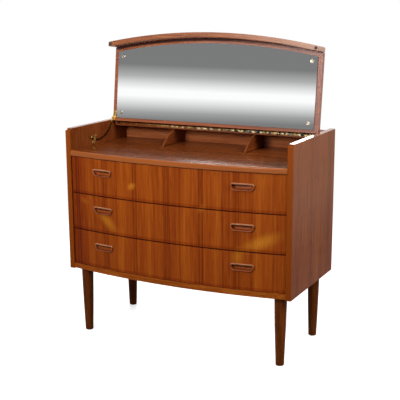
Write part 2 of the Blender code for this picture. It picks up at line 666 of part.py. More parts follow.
def make_lid(axis):
    """Lid, its bowed apron, the mirror and what holds it, drawn as when the lid is shut."""
    rear = -HINGE_GAP
    apron_back = APRON_SETBACK + APRON_T
    glue_line = apron_back + SEAT
    outline = bow_points(LID_HALF, glue_line, PIN_Y) + [(LID_HALF, rear), (-LID_HALF, rear)]
    panel = add_part("lid_panel", plate_mesh([outline], "XY", LID_UNDER, LID_TOP), "teak_side", axis)
    ease_edges(panel)

    shut_floor = FLOOR_Z - PIN_Z
    apron_foot = shut_floor + APRON_LIFT
    outer = bow_points(LID_HALF, APRON_SETBACK, PIN_Y)
    inner = bow_points(LID_HALF, apron_back, PIN_Y)[::-1]
    apron = add_part("lid_apron", plate_mesh([outer + inner], "XY", apron_foot, LID_TOP), "teak_solid", axis)
    ease_edges(apron)

    glass_low = LID_UNDER - SEAT - MIRROR_T
    foot = [(MIRROR_HALF, -MIRROR_FOOT), (-MIRROR_HALF, -MIRROR_FOOT)]
    glass = bow_points(MIRROR_HALF, MIRROR_TOP_SETBACK, PIN_Y) + foot
    cap_foot = -MIRROR_FOOT - CAP_INSET_FOOT
    cap_head = bow_y(CAP_X, MIRROR_TOP_SETBACK) - PIN_Y + CAP_INSET_HEAD
    places = [(x, y, 0) for y in (cap_foot, cap_head) for x in (-CAP_X, CAP_X)]
    hole = CAP_SHANK_D / 2 + SEAT
    turn = math.tau * (1 - 1 / SMALL_STEPS)
    holes = [arc_points(place, hole, 0, turn, SMALL_STEPS - 1) for place in places]
    add_part("mirror", plate_mesh([glass] + holes, "XY", glass_low, LID_UNDER - SEAT), "mirror_glass", axis)
    base = -(glass_low - SEAT)
    shank_end = -LID_UNDER + SEAT
    profile = dome_profile(CAP_D, CAP_H, base)
    profile += [(CAP_SHANK_D / 2, base), (CAP_SHANK_D / 2, shank_end), (0, shank_end)]
    cap = turned_mesh(profile, SMALL_STEPS)
    cap.transform(Matrix.Rotation(math.pi, 4, 'X'))
    names = ("lower_left", "lower_right", "upper_left", "upper_right")
    for name, place in zip(names, places):
        add_part("mirror_cap_" + name, cap, "brass", axis, place)

    stud = rod_mesh(BUFFER_D, shut_floor + BUFFER_PLAY, apron_foot - SEAT, TURN_STEPS // 2)
    for name, x in (("left", -BUFFER_X), ("right", BUFFER_X)):
        middle = APRON_SETBACK + APRON_T / 2
        add_part("lid_buffer_" + name, stud, "rubber", axis, (x, bow_y(x, middle) - PIN_Y, 0))


def make_stay(lid_axis):
    """Curved brass arm that pivots on the lid and runs between the plates of a friction guide."""
    turn_x = Matrix.Rotation(math.pi / 2, 4, 'Y')
    pivot_local = (ARM_X, -STAY_U, -STAY_W)
    arm_axis = add_axis("stay_arm_axis", pivot_local, (LID_OPEN, 0, 0), lid_axis)
    lean = Matrix.Rotation(-LID_OPEN, 2)
    pivot = Vector((PIN_Y, PIN_Z)) + lean @ Vector((-STAY_U, -STAY_W))
    guide = Vector((PIN_Y - GUIDE_FORWARD, PIN_Z - GUIDE_BELOW))

    # The arm is a band round the arc that joins pivot and guide, and runs on past the guide
    centre = arc_centre(guide, pivot, ARM_CURVE_R) - pivot
    head = math.atan2(-centre.y, -centre.x)
    reach = guide - pivot - centre
    tail = math.atan2(reach.y, reach.x) - ARM_OVERRUN / ARM_CURVE_R
    wide = ARM_WIDTH / 2
    tail_mid = centre + ARM_CURVE_R * Vector((math.cos(tail), math.sin(tail)))
    band = arc_points(centre, ARM_CURVE_R + wide, tail, head, BOW_STEPS)
    band += arc_points((0, 0), wide, head, head + math.pi, FILLET_STEPS)[1:-1]
    band += arc_points(centre, ARM_CURVE_R - wide, head, tail, BOW_STEPS)
    band += arc_points(tail_mid, wide, tail + math.pi, tail + math.tau, FILLET_STEPS)[1:-1]
    eye = arc_points((0, 0), RIVET_D / 2 + SEAT, 0, math.tau * (1 - 1 / SMALL_STEPS), SMALL_STEPS - 1)
    add_part("stay_arm", plate_mesh([band, eye], "YZ", -ARM_T / 2, ARM_T / 2), "brass", arm_axis)
    knob_profile = dome_profile(KNOB_D, KNOB_H / 2, KNOB_H / 2) + [(KNOB_FOOT_D / 2, 0), (0, 0)]
    knob = turned_mesh(knob_profile, SMALL_STEPS)
    knob.transform(turn_x)
    knob_place = (ARM_T / 2 + SEAT, tail_mid.x, tail_mid.y)
    add_part("stay_knob", knob, "brass", arm_axis, knob_place)

    # Bracket on the lid: a foot under the lid and a lug that takes the rivet
    lug_low = PLATE_X
    lug_high = PLATE_X + BRACKET_T
    foot_top = LID_UNDER - SEAT
    first = -BRACKET_START - BRACKET_LENGTH
    last = -BRACKET_START
    lug_r = RIVET_HEAD_D / 2 + PLAY
    lug = [(first, foot_top)] + arc_points((-STAY_U, -STAY_W), lug_r, LUG_START, LUG_END,
                                           FILLET_STEPS) + [(last, foot_top)]
    hole = arc_points((-STAY_U, -STAY_W), RIVET_D / 2 + SEAT, 0, math.tau * (1 - 1 / SMALL_STEPS),
                      SMALL_STEPS - 1)
    bracket = add_part("stay_bracket", plate_mesh([lug, hole], "YZ", lug_low, lug_high), "brass", lid_axis)
    foot = box_mesh((lug_low + BRACKET_T / 2, first, foot_top - BRACKET_T),
                    (lug_low + BRACKET_WIDTH, last, foot_top))
    combine(bracket, add_cutter("bracket_foot", foot, lid_axis), 'UNION')
    outside = ARM_X - ARM_T / 2 - SEAT
    inside = lug_high + SEAT
    inner_crown = inside + RIVET_HEAD_H
    outer_crown = outside - RIVET_HEAD_H
    rivet = [(0, inner_crown), (RIVET_CROWN_D / 2, inner_crown), (RIVET_HEAD_D / 2, inside),
             (RIVET_D / 2, inside), (RIVET_D / 2, outside), (RIVET_HEAD_D / 2, outside),
             (RIVET_CROWN_D / 2, outer_crown), (0, outer_crown)]
    rivet_mesh = turned_mesh(rivet, SMALL_STEPS)
    rivet_mesh.transform(turn_x)
    add_part("stay_rivet", rivet_mesh, "brass", lid_axis, (0, -STAY_U, -STAY_W))

    # Guide on the case side: a base, a friction plate and the two screws that hold it off the base
    tilt = (-GUIDE_TILT, 0, 0)
    place = (0, guide.x, guide.y)
    end_r = GUIDE_WIDTH / 2
    straight = GUIDE_LENGTH / 2 - end_r
    slot = arc_points((0, straight), end_r, 0, math.pi, FILLET_STEPS)
    slot += arc_points((0, -straight), end_r, math.pi, math.tau, FILLET_STEPS)
    base_low = -INNER_HALF + SEAT
    base_high = base_low + GUIDE_BASE_T
    add_part("stay_guide_base", plate_mesh([slot], "YZ", base_low, base_high), "brass", None, place, tilt)
    spots = (-GUIDE_SCREW_SPAN / 2, GUIDE_SCREW_SPAN / 2)
    turn = math.tau * (1 - 1 / SMALL_STEPS)
    holes = [arc_points((0, v), GUIDE_SCREW_D / 2 + SEAT, 0, turn, SMALL_STEPS - 1) for v in spots]
    plate_high = PLATE_X + GUIDE_PLATE_T
    plate = plate_mesh([slot] + holes, "YZ", PLATE_X, plate_high)
    add_part("stay_guide_plate", plate, "brass", None, place, tilt)
    head_base = plate_high + SEAT
    profile = dome_profile(GUIDE_HEAD_D, GUIDE_HEAD_H, head_base)
    profile += [(GUIDE_SCREW_D / 2, head_base), (GUIDE_SCREW_D / 2, base_high + SEAT), (0, base_high + SEAT)]
    guide_screw = turned_mesh(profile, SMALL_STEPS)
    guide_screw.transform(turn_x)
    for name, v in zip(("lower", "upper"), spots):
        spot = Vector(place) + Matrix.Rotation(-GUIDE_TILT, 3, 'X') @ Vector((0, 0, v))
        add_part("stay_guide_screw_" + name, guide_screw, "brass", None, spot, tilt)


PULL = pull_mesh()
make_case()
make_fins()
make_legs()
for number, drawer_name in enumerate(DRAWER_NAMES):
    make_drawer(drawer_name, DRAWERS_Z + number * DRAWER_PITCH)
LID_AXIS = add_axis("lid_axis", (0, PIN_Y, PIN_Z), (-LID_OPEN, 0, 0))
make_hinge(LID_AXIS)
make_lid(LID_AXIS)
make_stay(LID_AXIS)
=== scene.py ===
"""The looks of a teak dressing chest with three bowed drawers and a lift-up lid that carries a mirror.

Metres, X to the right, Y to the back, Z up, as in the frame. The lid stands open and the drawers are shut.
"""
import json
import math

import bpy
import numpy as np
from mathutils import Matrix, Vector


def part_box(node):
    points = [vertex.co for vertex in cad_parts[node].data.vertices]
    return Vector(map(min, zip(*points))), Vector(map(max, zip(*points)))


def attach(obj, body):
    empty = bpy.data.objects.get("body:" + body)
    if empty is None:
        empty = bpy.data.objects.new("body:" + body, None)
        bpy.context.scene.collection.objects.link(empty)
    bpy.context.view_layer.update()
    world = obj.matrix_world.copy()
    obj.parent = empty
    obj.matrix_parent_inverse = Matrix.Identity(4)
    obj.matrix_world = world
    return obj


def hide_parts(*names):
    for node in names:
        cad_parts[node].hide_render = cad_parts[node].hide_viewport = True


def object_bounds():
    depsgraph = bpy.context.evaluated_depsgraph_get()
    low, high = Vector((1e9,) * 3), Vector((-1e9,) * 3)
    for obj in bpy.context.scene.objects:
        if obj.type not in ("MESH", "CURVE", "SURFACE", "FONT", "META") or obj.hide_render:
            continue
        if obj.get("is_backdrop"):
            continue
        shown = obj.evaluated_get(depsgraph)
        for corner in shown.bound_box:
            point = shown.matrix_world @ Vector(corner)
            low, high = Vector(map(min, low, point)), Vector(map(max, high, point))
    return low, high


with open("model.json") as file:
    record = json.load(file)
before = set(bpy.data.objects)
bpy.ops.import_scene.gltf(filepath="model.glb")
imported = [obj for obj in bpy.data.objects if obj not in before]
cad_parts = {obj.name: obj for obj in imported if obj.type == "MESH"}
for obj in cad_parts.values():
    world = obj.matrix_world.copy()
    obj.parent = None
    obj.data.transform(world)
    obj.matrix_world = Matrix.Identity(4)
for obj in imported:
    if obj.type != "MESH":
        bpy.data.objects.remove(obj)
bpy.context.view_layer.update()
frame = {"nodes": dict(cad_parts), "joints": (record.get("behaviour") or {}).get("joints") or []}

# Side panels
# Each side is one upright board faced with straight-grained teak veneer, with a solid lipping glued to its
# front edge and a thin polished capping on its top edge. A small step is sawn out of the top front corner,
# where the lid's apron shuts beside it.
side_low, side_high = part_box("side_right")
INNER_HALF = side_low.x
OUTER_HALF = side_high.x
SIDE_FRONT_Y = side_low.y
BACK_Y = side_high.y
SIDE_FOOT_Z = side_low.z
CASE_TOP_Z = side_high.z
NOTCH_DEPTH = 0.012
NOTCH_HEIGHT = 0.007
SIDE_CORNER_R = 0.002
BOARD_EASE = 0.0012
SHARP = math.radians(40)
SIDE_TONES = ("#6A3012", "#82411C", "#965226")
# Painted reflection: a grey veil added to the upper part of the outer faces, coming in between two heights
SIDE_PAINTED_REFLECTION = "#3E3932"
SIDE_REFLECTION_Z = (0.34, 0.60)
SKIN = 0.003
STRIPE = 0.006
GRAIN_STRETCH = 30
PORE_STRETCH = 45
PORE_SCALE = 820.0
LIPPING = 0.005
LIPPING_Y = SIDE_FRONT_Y + LIPPING
GLUE_LINE = 0.0004
LIPPING_TEAK = "#8E420E"
LIPPING_SHARE = 0.8
CAPPING = 0.0016
CAPPING_TONES = ("#8A4A28", "#A05C36", "#B47048")


def linear(code):
    """Linear colour with alpha of an sRGB hex value."""
    value = np.array([int(code[i:i + 2], 16) for i in (1, 3, 5)]) / 255
    rgb = np.where(value <= 0.04045, value / 12.92, ((value + 0.055) / 1.055) ** 2.4)
    return (*rgb.tolist(), 1.0)


def soften(outline, radius, steps=4):
    """Each sharp corner of a closed outline becomes an arc that is tangent to both of its sides.

    The arc's middle lies on the corner's bisector, radius over the sine of the half angle away, and its
    points turn evenly from one tangent point to the other.
    """
    outline = np.asarray(outline, float)
    radius = np.broadcast_to(radius, len(outline))
    before = np.roll(outline, 1, 0) - outline
    after = np.roll(outline, -1, 0) - outline
    before /= np.linalg.norm(before, axis=1, keepdims=True)
    after /= np.linalg.norm(after, axis=1, keepdims=True)
    half = np.arccos(np.clip((before * after).sum(1), -1, 1)) / 2
    sharp = half < math.radians(80)
    corner, b, a, h, r = (values[sharp] for values in (outline, before, after, half, radius))
    bisector = (a + b) / np.linalg.norm(a + b, axis=1, keepdims=True)
    centre = corner + bisector * (r / np.sin(h))[:, None]
    first = corner + b * (r / np.tan(h))[:, None] - centre
    last = corner + a * (r / np.tan(h))[:, None] - centre
    sweep = (math.pi - 2 * h)[:, None, None]
    share = np.linspace(0, 1, steps + 1)[None, :, None]
    turned_part = np.sin((1 - share) * sweep) * first[:, None] + np.sin(share * sweep) * last[:, None]
    arcs = centre[:, None] + turned_part / np.sin(sweep)
    counts = np.where(sharp, steps + 1, 1)
    result = np.repeat(outline, counts, 0)
    result[np.repeat(sharp, counts)] = arcs.reshape(-1, 2)
    return result


def inset(outline, distance):
    """A closed outline drawn in: each point moves along the mitre of the inward normals of its two sides."""
    along = np.roll(outline, -1, 0) - outline
    along /= np.linalg.norm(along, axis=1, keepdims=True)
    after = np.stack([-along[:, 1], along[:, 0]], -1)
    before = np.roll(after, 1, 0)
    return outline + distance * (before + after) / (1 + (before * after).sum(1))[:, None]


def loft(rings):
    """Skin over closed rings of points: quads join each ring to the next, and flat caps close both ends."""
    rings = np.asarray(rings, float)
    count, around = rings.shape[:2]
    index = np.arange(count * around).reshape(count, around)
    low = index[:-1]
    high = index[1:]
    quads = np.stack([low, np.roll(low, -1, 1), np.roll(high, -1, 1), high], -1).reshape(-1, 4)
    return rings.reshape(-1, 3), quads.tolist() + [index[0, ::-1].tolist(), index[-1].tolist()]


def edge_profile(low, high, ease, steps=4):
    """Rounded edges of a board as rows of (inset, level): quarter circles of radius ease, low edge first.

    A row beside each quarter circle, on the flat and on the upright face, keeps those faces flat.
    """
    angle = np.linspace(0, math.pi / 2, steps + 1)
    keep = ease / 2
    lower = np.stack([ease * (1 - np.sin(angle)), low + ease * (1 - np.cos(angle))], -1)
    upper = np.stack([lower[::-1, 0], high + low - lower[::-1, 1]], -1)
    flat = [(ease + keep, low)]
    wall = [(0, low + ease + keep), (0, high - ease - keep)]
    return np.concatenate([flat, lower, wall, upper, [(ease + keep, high)]])


def board(outline, low, high, ease, plane="xy"):
    """A board with eased edges: its outline, drawn in by the edge profile, is carried up from low to high.

    The outline lies in the named plane, runs counter-clockwise as seen from the plane's upper side, and has
    corners rounded to more than one and a half times the ease, so that its drawn-in rows don't cross.
    """
    profile = edge_profile(low, high, ease)
    rings = np.stack([np.column_stack([inset(outline, d), np.full(len(outline), level)])
                      for d, level in profile])
    points, faces = loft(rings)
    return np.roll(points, {"xy": 0, "yz": 1, "zx": 2}[plane], axis=1), faces


def rectangle(left, front, right, back, radius):
    """The outline of a rectangle with rounded corners."""
    return soften([(left, front), (right, front), (right, back), (left, back)], radius)


def solid(name, shape):
    """A surface as an object in the scene."""
    points, faces = shape
    mesh = bpy.data.meshes.new(name)
    mesh.from_pydata(np.asarray(points).tolist(), [], faces)
    obj = bpy.data.objects.new(name, mesh)
    bpy.context.scene.collection.objects.link(obj)
    return obj


def piece(name, shape, body, slot, material, *nodes):
    """Put a closed surface into the scene under a name; it rides on a body and stands for its nodes."""
    obj = solid(name, shape)
    obj.data.shade_smooth()
    obj.data.set_sharp_from_angle(angle=SHARP)
    obj.data.materials.append(material)
    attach(obj, body)
    if nodes:
        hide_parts(*nodes)
    return obj


def fill(tree, node, inputs):
    """Give a node's inputs their values, or another node's output to link to."""
    for key, value in dict(inputs).items():
        if isinstance(value, bpy.types.NodeSocket):
            tree.links.new(value, node.inputs[key])
        else:
            node.inputs[key].default_value = value


def add(tree, kind, inputs=(), ramp=(), out=0, **settings):
    """Add a node with its settings and inputs, and give back one of its outputs."""
    node = tree.nodes.new("ShaderNode" + kind)
    for key, value in settings.items():
        setattr(node, key, value)
    fill(tree, node, inputs)
    if ramp:
        elements = node.color_ramp.elements
        elements[0].position = ramp[0][0]
        elements[1].position = ramp[-1][0]
        for position, code in ramp[1:-1]:
            elements.new(position)
        for element, (position, code) in zip(elements, ramp):
            element.color = linear(code)
    return node.outputs[out]


def new_material(name):
    """A material with its node tree, its shader and its Object coordinates."""
    material = bpy.data.materials.new(name)
    material.use_nodes = True
    tree = material.node_tree
    place = add(tree, "TexCoord", out="Object")
    return material, tree, tree.nodes["Principled BSDF"], place


def wood_figure(tree, vector, grain, stripe, tones, pore_dark="#A28474"):
    """Colour and pore pattern of wood with its grain along one axis.

    Noise stretched along the grain gives the growth stripes, slower noise the broad changes of tone, and
    fine noise cut at a level the open pores. Pores are drawn about four times too wide, so that they show.
    """
    stretch = [1 / GRAIN_STRETCH if axis == grain else 1.0 for axis in "xyz"]
    pore_stretch = [1 / PORE_STRETCH if axis == grain else 1.0 for axis in "xyz"]
    fibre = add(tree, "Mapping", {"Vector": vector, "Scale": stretch})
    pore_way = add(tree, "Mapping", {"Vector": vector, "Scale": pore_stretch})
    broad = add(tree, "TexNoise", {"Vector": fibre, "Scale": 0.14 / stripe, "Detail": 2.0})
    fine = add(tree, "TexNoise", {"Vector": fibre, "Scale": 1 / stripe, "Detail": 5.0, "Roughness": 0.62,
                                  "Distortion": 0.25})
    tone = add(tree, "Mix", {0: 0.62, 2: broad, 3: fine}, data_type='FLOAT')
    colour = add(tree, "ValToRGB", {"Fac": tone},
                 ramp=[(0.34, tones[0]), (0.5, tones[1]), (0.66, tones[2])])
    pores = add(tree, "TexNoise", {"Vector": pore_way, "Scale": PORE_SCALE, "Detail": 1.0})
    open_pores = add(tree, "MapRange", {"Value": pores, "From Min": 0.58, "From Max": 0.72})
    colour = add(tree, "Mix", {0: open_pores, 6: colour, 7: linear(pore_dark)}, out=2, data_type='RGBA',
                 blend_type='MULTIPLY')
    return colour, open_pores


def oil_finish(tree, shader, colour, open_pores, roughness, gloss):
    """Oiled and rubbed wood: satin between the pores, matt and a little sunken in them."""
    rough = add(tree, "MapRange", {"Value": open_pores, "To Min": roughness, "To Max": roughness + 0.2})
    bump = add(tree, "Bump", {"Height": open_pores, "Strength": 0.35, "Distance": 0.0002}, invert=True)
    fill(tree, shader, {"Base Color": colour, "Roughness": rough, "Normal": bump,
                        "Specular IOR Level": gloss})


def wood(name, grain, stripe, tones, roughness, gloss=0.12, wear=None):
    """A board of one wood, grain along the named axis; wear is a function that changes the plain colour."""
    material, tree, shader, place = new_material(name)
    colour, open_pores = wood_figure(tree, place, grain, stripe, tones)
    if wear:
        colour = wear(tree, place, colour)
    oil_finish(tree, shader, colour, open_pores, roughness, gloss)
    return material


def shaded(tree, colour, value, levels, tint, share=1.0, blend='MIX', ease='LINEAR'):
    """A colour that goes over to a tint, in some share, as a value runs from one level to another."""
    start, end = levels
    amount = add(tree, "MapRange", {"Value": value, "From Min": start, "From Max": end, "To Max": share},
                 interpolation_type=ease)
    return add(tree, "Mix", {0: amount, 6: colour, 7: linear(tint)}, out=2, data_type='RGBA',
               blend_type=blend)


def side_reflection_and_lipping(tree, place, colour):
    """Painted reflection greys the upper outer faces; a solid lipping runs along the front edge."""
    x, y, z = add(tree, "SeparateXYZ", {0: place}).node.outputs
    out = add(tree, "Math", {0: x}, operation='ABSOLUTE')
    out = add(tree, "MapRange", {"Value": out, "From Min": OUTER_HALF - SKIN, "From Max": OUTER_HALF})
    # Painted reflection: the grey veil on the outer faces above about half height
    colour = shaded(tree, colour, z, SIDE_REFLECTION_Z, SIDE_PAINTED_REFLECTION, out, 'ADD', 'SMOOTHSTEP')
    return shaded(tree, colour, y, (LIPPING_Y, LIPPING_Y - GLUE_LINE), LIPPING_TEAK, LIPPING_SHARE)


SIDE_TEAK = wood("teak_veneer_upright", "z", STRIPE, SIDE_TONES, 0.42, 0.02, side_reflection_and_lipping)
CAPPING_TEAK = wood("teak_capping_polished", "y", STRIPE, CAPPING_TONES, 0.16, 0.8)
CAPPING_Z = CASE_TOP_Z - CAPPING
side_outline = soften([(SIDE_FRONT_Y, SIDE_FOOT_Z), (BACK_Y, SIDE_FOOT_Z), (BACK_Y, CAPPING_Z),
                       (SIDE_FRONT_Y + NOTCH_DEPTH, CAPPING_Z),
                       (SIDE_FRONT_Y + NOTCH_DEPTH, CASE_TOP_Z - NOTCH_HEIGHT),
                       (SIDE_FRONT_Y, CASE_TOP_Z - NOTCH_HEIGHT)], SIDE_CORNER_R)
for side, left_x, right_x in (("left", -OUTER_HALF, -INNER_HALF), ("right", INNER_HALF, OUTER_HALF)):
    panel = board(side_outline, left_x, right_x, BOARD_EASE, "yz")
    piece("side_panel_" + side, panel, "cabinet", "teak_side", SIDE_TEAK, "side_" + side)
    capping_outline = rectangle(left_x, SIDE_FRONT_Y + NOTCH_DEPTH, right_x, BACK_Y, SIDE_CORNER_R)
    capping = board(capping_outline, CAPPING_Z, CASE_TOP_Z, CAPPING / 3)
    piece("side_capping_" + side, capping, "cabinet", "teak_side", CAPPING_TEAK)

# Top board
# The floor of the compartment and the top of the drawer case: a teak board with its grain from side to
# side. Its swelled front edge is solid and well rounded, and takes a bright line of light.
top_low, top_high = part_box("top_board")
TOP_Z = top_low.z
FLOOR_Z = top_high.z
BOARD_REAR_Y = top_high.y
BOARD_HALF = top_high.x
FRONT_Y = top_low.y
BOW_RISE = SIDE_FRONT_Y - FRONT_Y
BOW_R = (INNER_HALF ** 2 + BOW_RISE ** 2) / (2 * BOW_RISE)
BOW_CENTRE_Y = FRONT_Y + BOW_R
BOW_STEPS = 96
BOARD_STRIPE = 0.007
TOP_EDGE_R = 0.0045
TOP_TONES = ("#5A290E", "#783B17", "#924D23")
TOP_LIPPING = (0.006, 0.005)
TOP_LIPPING_TEAK = "#B06026"
TOP_LIPPING_SHARE = 0.6


def swell_y(x, setback):
    """Where the front's swell is at some x: on one circle, set back along its radius."""
    return BOW_CENTRE_Y - np.sqrt((BOW_R - setback) ** 2 - x ** 2)


def bow(half, setback):
    """The swell of the front from left to right."""
    x = np.linspace(-half, half, BOW_STEPS + 1)
    return np.stack([x, swell_y(x, setback)], -1)


def bowed_board(half, setback, rear, low, high, radius):
    """A board with a swelled, rounded front: its cross-section is carried from left to right.

    The section is an edge profile and two rear corners. The edges follow the swell, and the corners stay on
    one line.
    """
    section = np.concatenate([edge_profile(low, high, radius, 6)[::-1], [(0, low), (0, high)]])
    at_rear = np.arange(len(section)) >= len(section) - 2
    line = bow(half, setback)
    y = np.where(at_rear, rear, line[:, 1:] + section[:, 0])
    x = np.broadcast_to(line[:, :1], y.shape)
    z = np.broadcast_to(section[:, 1], y.shape)
    return loft(np.stack([x, y, z], -1))


def below_swell(tree, vector, centre_y):
    """How far a place lies behind the front's swell, whose centre line is upright at a given y."""
    x, y, _ = add(tree, "SeparateXYZ", {0: vector}).node.outputs
    level = add(tree, "CombineXYZ", {0: x, 1: y})
    away = add(tree, "VectorMath", {0: level, 1: (0.0, centre_y, 0.0)}, out="Value", operation='DISTANCE')
    return add(tree, "Math", {0: BOW_R, 1: away}, operation='SUBTRACT')


def top_wear(tree, place, colour):
    """A paler solid lipping lies behind the swell."""
    depth = below_swell(tree, place, BOW_CENTRE_Y)
    return shaded(tree, colour, depth, TOP_LIPPING, TOP_LIPPING_TEAK, TOP_LIPPING_SHARE)


TOP_TEAK = wood("teak_board_crosswise", "x", BOARD_STRIPE, TOP_TONES, 0.2, 0.14, top_wear)
top_board = bowed_board(BOARD_HALF, 0.0, BOARD_REAR_Y, TOP_Z, FLOOR_Z, TOP_EDGE_R)
piece("compartment_floor", top_board, "cabinet", "teak_front", TOP_TEAK, "top_board")

# Bottom board
# The board that carries the legs, dowelled between the sides. Its solid teak front edge swells like the
# drawers above it and shows as a plain orange strip below them.
bottom_low, bottom_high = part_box("bottom_board")
BOTTOM_Z = bottom_low.z
DRAWERS_Z = bottom_high.z
BOTTOM_SETBACK = bottom_low.y - FRONT_Y
BOTTOM_TONES = ("#7A3609", "#964A12", "#AC5D1C")

BOTTOM_TEAK = wood("teak_lipping_crosswise", "x", BOARD_STRIPE, BOTTOM_TONES, 0.42, 0.05)
bottom_board = bowed_board(BOARD_HALF, BOTTOM_SETBACK, BOARD_REAR_Y, BOTTOM_Z, DRAWERS_Z, BOARD_EASE)
piece("case_bottom", bottom_board, "cabinet", "teak_front", BOTTOM_TEAK, "bottom_board")

# Back panel
# A sheet of plywood let into grooves at the rear of the case. Its inner face, at the back of the
# compartment, is teak veneer; behind it is left pale and hardly finished.
PLY_TONES = ("#6B4424", "#835631", "#96683F")
LINING_TONES = ("#7C3E1E", "#96522C", "#AC683E")
back_low, back_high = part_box("back_panel")
BACK_MIDDLE_Y = (back_low.y + back_high.y) / 2
PLY_STRIPE = 0.012


def dress(node, material):
    """Give a piece of the frame that keeps its own shape a worked-out finish."""
    mesh = frame["nodes"][node].data
    mesh.materials.clear()
    mesh.materials.append(material)


def bare_behind(tree, place, colour):
    """The veneer gives way to bare plywood behind the middle of the panel."""
    bare = wood_figure(tree, place, "x", PLY_STRIPE, PLY_TONES)[0]
    y = add(tree, "SeparateXYZ", {0: place}, out="Y")
    behind = add(tree, "Math", {0: y, 1: BACK_MIDDLE_Y}, operation='GREATER_THAN')
    return add(tree, "Mix", {0: behind, 6: colour, 7: bare}, out=2, data_type='RGBA')


PLY = wood("plywood_face_veneer", "x", PLY_STRIPE, PLY_TONES, 0.6, 0.1)
dress("back_panel", wood("plywood_lined_with_teak", "x", STRIPE, LINING_TONES, 0.5, 0.1, bare_behind))

# Rear shelf
# A fixed shelf across the back of the compartment, a little below the tops of the sides and level with the
# shut lid. The lid's hinge is screwed to its front edge.
shelf_low, shelf_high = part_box("rear_shelf")
SHELF_TONES = ("#6A3418", "#824526", "#975636")
SHELF_TEAK = wood("teak_veneer_crosswise", "x", STRIPE, SHELF_TONES, 0.4)
shelf_outline = rectangle(shelf_low.x, shelf_low.y, shelf_high.x, shelf_high.y, 2 * BOARD_EASE)
shelf = board(shelf_outline, shelf_low.z, shelf_high.z, BOARD_EASE)
piece("hinge_shelf", shelf, "cabinet", "teak_side", SHELF_TEAK, "rear_shelf")

# Fins
# Two thin teak dividers below the shelf. The front edge of each sweeps down in a hollow curve to a tip on
# the compartment's floor, and is rounded over.
FIN_CURVE_R = 0.19
FIN_EASE = 0.0025
FIN_STEPS = 32
FIN_TONES = ("#5E2A10", "#7A3C18", "#925026")


def arc(centre, radius, start, end, steps):
    """Points on a circle from one angle to another, both included."""
    angle = np.linspace(start, end, steps + 1)
    return np.stack([centre[0] + radius * np.cos(angle), centre[1] + radius * np.sin(angle)], -1)


def arc_centre(start, end, radius):
    """The middle of the arc from start to end, to the left of the way between them."""
    along = end - start
    left = np.array([-along[1], along[0]]) / np.linalg.norm(along)
    return (start + end) / 2 + left * math.sqrt(radius ** 2 - (along @ along) / 4)


def angle_at(centre, point):
    """The angle at which a point is seen from a centre."""
    return math.atan2(*(point - centre)[::-1])


FIN_TEAK = wood("teak_divider", "y", STRIPE, FIN_TONES, 0.42)
for side in ("left", "right"):
    fin_low, fin_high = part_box("fin_" + side)
    start = np.array([shelf_low.y, fin_high.z])
    end = np.array([fin_low.y, fin_low.z])
    centre = arc_centre(start, end, FIN_CURVE_R)
    first = angle_at(centre, start)
    sweep = arc(centre, FIN_CURVE_R, first, first + (angle_at(centre, end) - first) % math.tau, FIN_STEPS)
    fin_outline = np.concatenate([sweep, [(fin_high.y, fin_low.z), (fin_high.y, fin_high.z)]])
    fin = board(fin_outline, fin_low.x, fin_high.x, FIN_EASE, "yz")
    piece("compartment_fin_" + side, fin, "cabinet", "teak_side", FIN_TEAK, "fin_" + side)

# Legs
# Four turned legs of solid dark-stained teak that swell a little and taper to a small rounded foot. A spigot
# on top of each is glued into the bottom board.
LEG_TOP_D = 0.0448
LEG_FOOT_D = 0.0302
LEG_SWELL = 0.0006
FOOT_R = 0.004
TURN_STEPS = 64
LEG_TONES = ("#4C2008", "#64300E", "#7E4218")


def turned(profile, steps=TURN_STEPS):
    """A turned piece on the Z axis: rows of (radius, height), from its lower end up, go round in circles."""
    profile = np.asarray(profile, float)
    angle = np.arange(steps) * (math.tau / steps)
    rings = np.empty((len(profile), steps, 3))
    rings[..., 0] = profile[:, :1] * np.cos(angle)
    rings[..., 1] = profile[:, :1] * np.sin(angle)
    rings[..., 2] = profile[:, 1:]
    return loft(rings)


def moved(shape, place):
    """A shape carried to its place."""
    points, faces = shape
    return points + np.asarray(place, float), faces


LEG_TEAK = wood("teak_turned_dark", "z", STRIPE, LEG_TONES, 0.36, 0.03)
foot = arc((LEG_FOOT_D / 2 - FOOT_R, FOOT_R), FOOT_R, -math.pi / 2, 0, 6)

# The shaft runs up from the foot to the bottom board, a straight taper with a parabola's swell on it
down = np.linspace(1, 0, 17)[1:]
shaft_radius = (LEG_TOP_D + (LEG_FOOT_D - LEG_TOP_D) * down) / 2 + LEG_SWELL * 4 * down * (1 - down)
shaft = np.stack([shaft_radius, BOTTOM_Z + (FOOT_R - BOTTOM_Z) * down], -1)
leg_profile = np.concatenate([foot, shaft])
for place in ("front_left", "front_right", "rear_left", "rear_right"):
    leg_low, leg_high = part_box("leg_" + place)
    axis = (leg_low + leg_high) / 2
    leg = moved(turned(leg_profile), (axis.x, axis.y, 0))
    piece("turned_leg_" + place, leg, "cabinet", "teak_dark", LEG_TEAK, "leg_" + place)

# Runners
# Oak strips screwed to the inside of the sides. Each drawer hangs on a pair of them by the grooves in its
# sides.
OAK_TONES = ("#8A6237", "#A47A49", "#B98F5C")
OAK_STRIPE = 0.005
OAK = wood("oak_planed", "y", OAK_STRIPE, OAK_TONES, 0.55, 0.3)
DRAWERS = ("bottom", "middle", "top")
for drawer in DRAWERS:
    for side in ("left", "right"):
        dress("runner_" + drawer + "_" + side, OAK)

